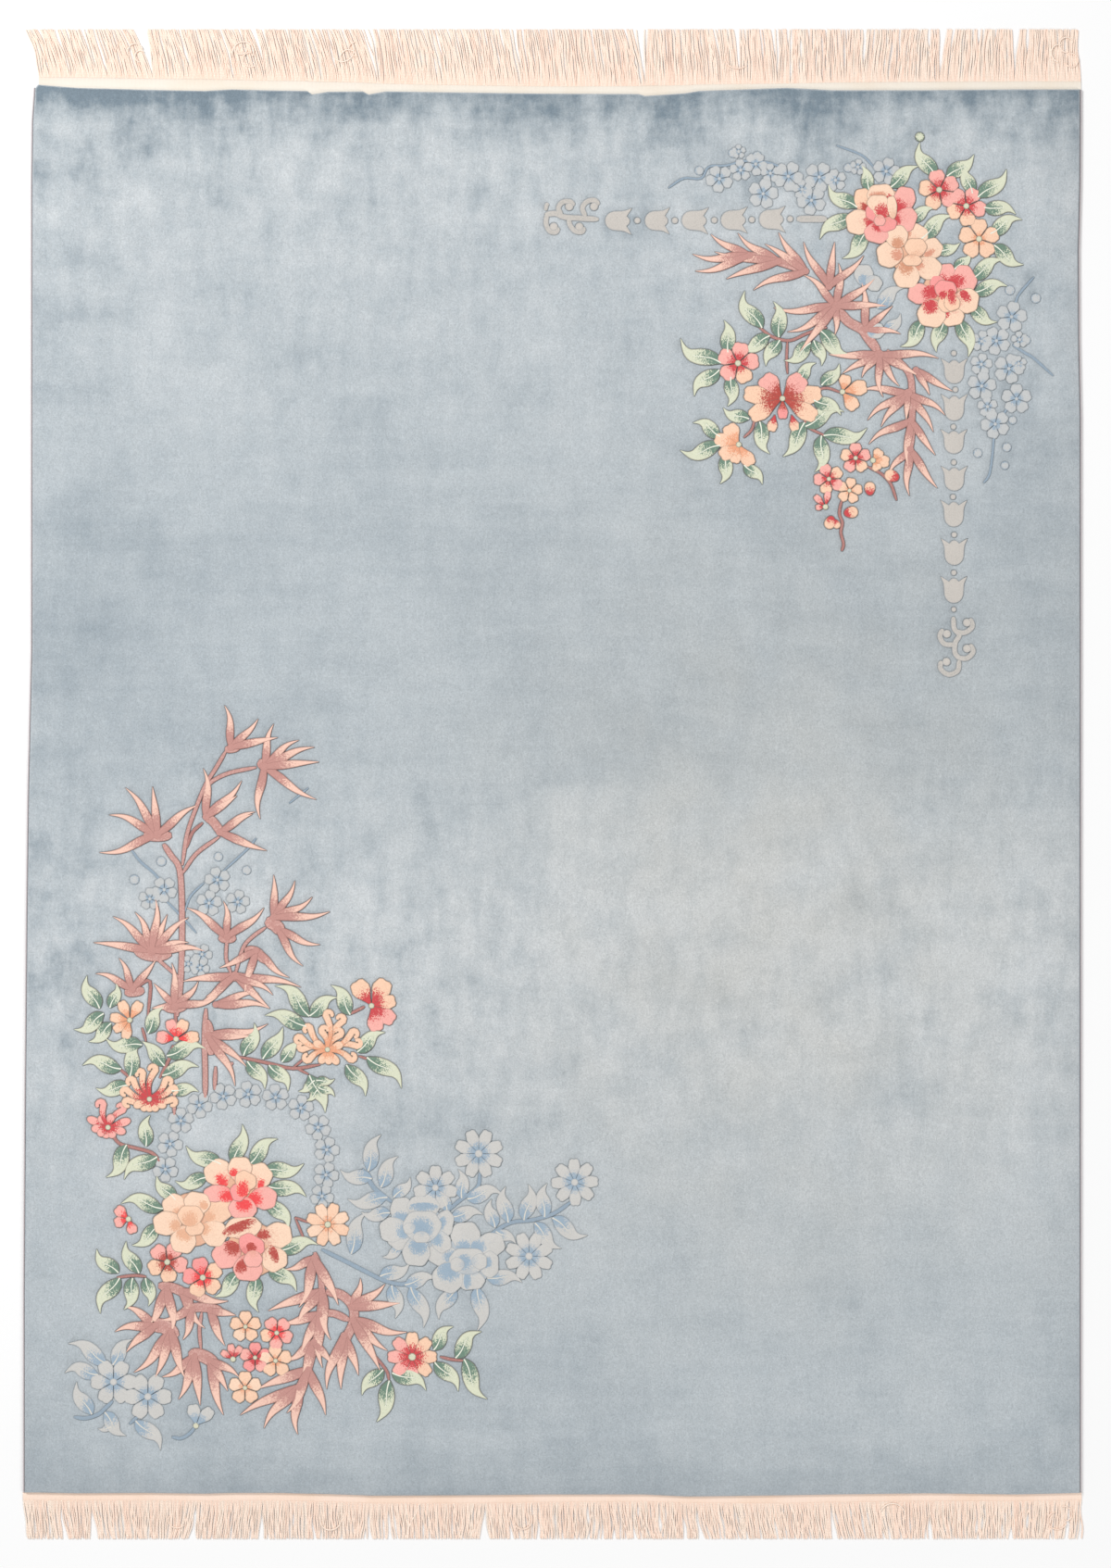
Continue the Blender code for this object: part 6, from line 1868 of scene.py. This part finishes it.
def strand_cotton():
    """Twisted undyed cotton, a little uneven in colour from strand to strand, with painted shade in its
    twist.
    """
    graph = Graph("strand_cotton")
    twist = graph.node("ShaderNodeSeparateXYZ", Vector=graph.colour("twist")).outputs
    turn = graph.math("MULTIPLY", twist[2], 900.0)
    ridge = graph.math("MULTIPLY", twist[0], graph.math("COSINE", turn))
    ridge = graph.math("MULTIPLY_ADD", twist[1], graph.math("SINE", turn), ridge)
    shade = graph.math("MULTIPLY_ADD", graph.number("shade"), 0.5, 0.5)
    cotton = graph.mix(shade, yarn(262, 246, 231), yarn(262, 234, 216))
    cotton = graph.mix(graph.ramp(graph.noise(60, 3.0), 0.55, 0.8, 0.0, 0.35), cotton, yarn(242, 214, 196))
    # Painted shade in the grooves of the twist, on the low side of each ridge.
    cotton = graph.mix(graph.ramp(ridge, -1.0, -0.2, 0.14, 0.0), cotton, yarn(214, 180, 162))
    relief = graph.math("MULTIPLY_ADD", graph.noise(1600, 2.0), 0.3, ridge)
    return graph.finish(cotton, relief, 0.25 * MM, 0.85, 0.1)


def band_cotton(name, light, peach):
    """The tight flat weave of an end band, in its two casts of cotton."""
    graph = Graph(name)
    weft = graph.node("ShaderNodeTexWave", {"bands_direction": "Y"}, Vector=graph.places(), Scale=190.0,
                      Distortion=1.2, Detail=2.0).outputs["Fac"]
    warp = graph.node("ShaderNodeTexWave", {"bands_direction": "X"}, Vector=graph.places(), Scale=75.0,
                      Distortion=0.6, Detail=1.0).outputs["Fac"]
    cotton = graph.mix(graph.ramp(graph.noise(9, 3.0), 0.35, 0.75), light, peach)
    cotton = graph.mix(graph.math("MULTIPLY", weft, 0.12), cotton, yarn(214, 184, 162))
    # Painted shade in the low grooves between the ribs.
    cotton = graph.mix(graph.math("MULTIPLY", graph.number("rib"), 0.5), cotton, yarn(196, 168, 150))
    relief = graph.math("MULTIPLY_ADD", warp, 0.6, weft)
    return graph.finish(cotton, relief, 0.2 * MM, 0.85, 0.1)


def cord_wool():
    """Wool yarn wrapped over the edge, with painted shade between the wraps."""
    graph = Graph("cord_wool")
    wool = graph.mix(graph.noise(40, 3.0), yarn(208, 198, 200), yarn(222, 213, 213))
    # Painted shade in the low grooves between the wraps.
    between = graph.math("SUBTRACT", 1.0, graph.number("wrap"))
    wool = graph.mix(graph.math("MULTIPLY", between, 0.4), wool, yarn(166, 156, 160))
    relief = graph.math("MULTIPLY_ADD", graph.noise(1200, 2.0), 0.4, graph.number("wrap"))
    return graph.finish(wool, relief, 0.3 * MM, 0.9, 0.15)


def floor_paint():
    """A plain pale studio floor."""
    graph = Graph("floor_paint")
    paint = graph.mix(graph.noise(0.8, 2.0), yarn(252, 252, 252), yarn(254, 254, 254))
    return graph.finish(paint, graph.noise(200, 2.0), 0.05 * MM, 0.8, 0.0)


# The room

SKY_STRENGTH = 0.55
FLOOR_REACH = 14
FLOOR_GAP = 0.2 * MM


def build_floor():
    """A wide plain floor under the rug."""
    mesh = bpy.data.meshes.new("floor")
    corners = [(FLOOR_REACH * x, FLOOR_REACH * y, 0) for x, y in ((-1, -1), (1, -1), (1, 1), (-1, 1))]
    mesh.from_pydata(corners, [], [(0, 1, 2, 3)])
    mesh.materials.append(floor_paint())
    floor = bpy.data.objects.new("floor", mesh)
    floor.location.z = -FLOOR_GAP
    bpy.context.scene.collection.objects.link(floor)


def add_softbox(name, place, size, power):
    """A square lamp that faces the middle of the rug."""
    lamp = bpy.data.lights.new(name, "AREA")
    lamp.shape = "SQUARE"
    lamp.size = size
    lamp.energy = power
    softbox = bpy.data.objects.new(name, lamp)
    softbox.location = place
    softbox.rotation_mode = "QUATERNION"
    softbox.rotation_quaternion = (-Vector(place)).to_track_quat("-Z", "Y")
    bpy.context.scene.collection.objects.link(softbox)


def light_room():
    """Even light from a white sky, and a softbox on either side to bring out the relief."""
    world = bpy.data.worlds.new("sky")
    world.use_nodes = True
    world.node_tree.nodes["Background"].inputs["Color"].default_value = (1.0, 1.0, 1.0, 1.0)
    world.node_tree.nodes["Background"].inputs["Strength"].default_value = SKY_STRENGTH
    bpy.context.scene.world = world
    add_softbox("key_softbox", place=(-6.0, 5.0, 8.0), size=3.0, power=730.0)
    add_softbox("fill_softbox", place=(7.0, -6.0, 9.0), size=5.0, power=430.0)


def hang_camera():
    """A camera straight over the rug, so high that its view takes in the whole of it."""
    data = bpy.data.cameras.new("camera")
    data.lens = CAMERA_LENS
    data.sensor_width = CAMERA_SENSOR
    camera = bpy.data.objects.new("camera", data)
    height = PILE_TOP + HALF_VIEW_LENGTH * 2 * CAMERA_LENS / CAMERA_SENSOR
    camera.location = (CAMERA_X, 0.0, height)
    bpy.context.scene.collection.objects.link(camera)
    bpy.context.scene.camera = camera


def dress_rug():
    """Every visible piece of the rug."""
    bright_wool = motif_wool("motif_wool", 0.5, OUTLINE_SHADE, 0.62)
    low_wool = motif_wool("low_motif_wool", 0.42, LOW_OUTLINE_SHADE, 0.42)
    on_pile = [
        build_peonies(bright_wool),
        build_blossoms(bright_wool),
        build_leaves(bright_wool),
        build_bamboo(motif_wool("bamboo_wool", 0.42, BLADE_OUTLINE_SHADE, 0.7)),
        build_ornament(low_wool),
        build_low_pattern(low_wool),
    ]
    field = build_field(field_wool())
    cord = cord_wool()
    strands = strand_cotton()
    cream_weave = band_cotton("cream_band_cotton", yarn(255, 248, 236), yarn(253, 242, 226))
    peach_weave = band_cotton("peach_band_cotton", yarn(270, 244, 226), yarn(266, 236, 214))
    top = FringeEnd(1, left=-132.9, right=136.8, leans=TOP_LEANS, partings=TOP_PARTINGS)
    bottom = FringeEnd(-1, left=-137.0, right=137.0, leans=BOTTOM_LEANS, partings=BOTTOM_PARTINGS)
    edges = [
        build_side_cord("left_cord", "side_cord_left", -1, cord),
        build_side_cord("right_cord", "side_cord_right", 1, cord),
    ]
    top_strands = build_strands("top_strands", "fringe_top", top, 11, strands)
    bottom_strands = build_strands("bottom_strands", "fringe_bottom", bottom, 23, strands)
    top_band = build_band("top_band", "fringe_top", top, cream_weave)
    bottom_band = build_band("bottom_band", "fringe_bottom", bottom, peach_weave)


dress_rug()
build_floor()
light_room()
hang_camera()
bpy.context.scene.view_settings.view_transform = "Standard"
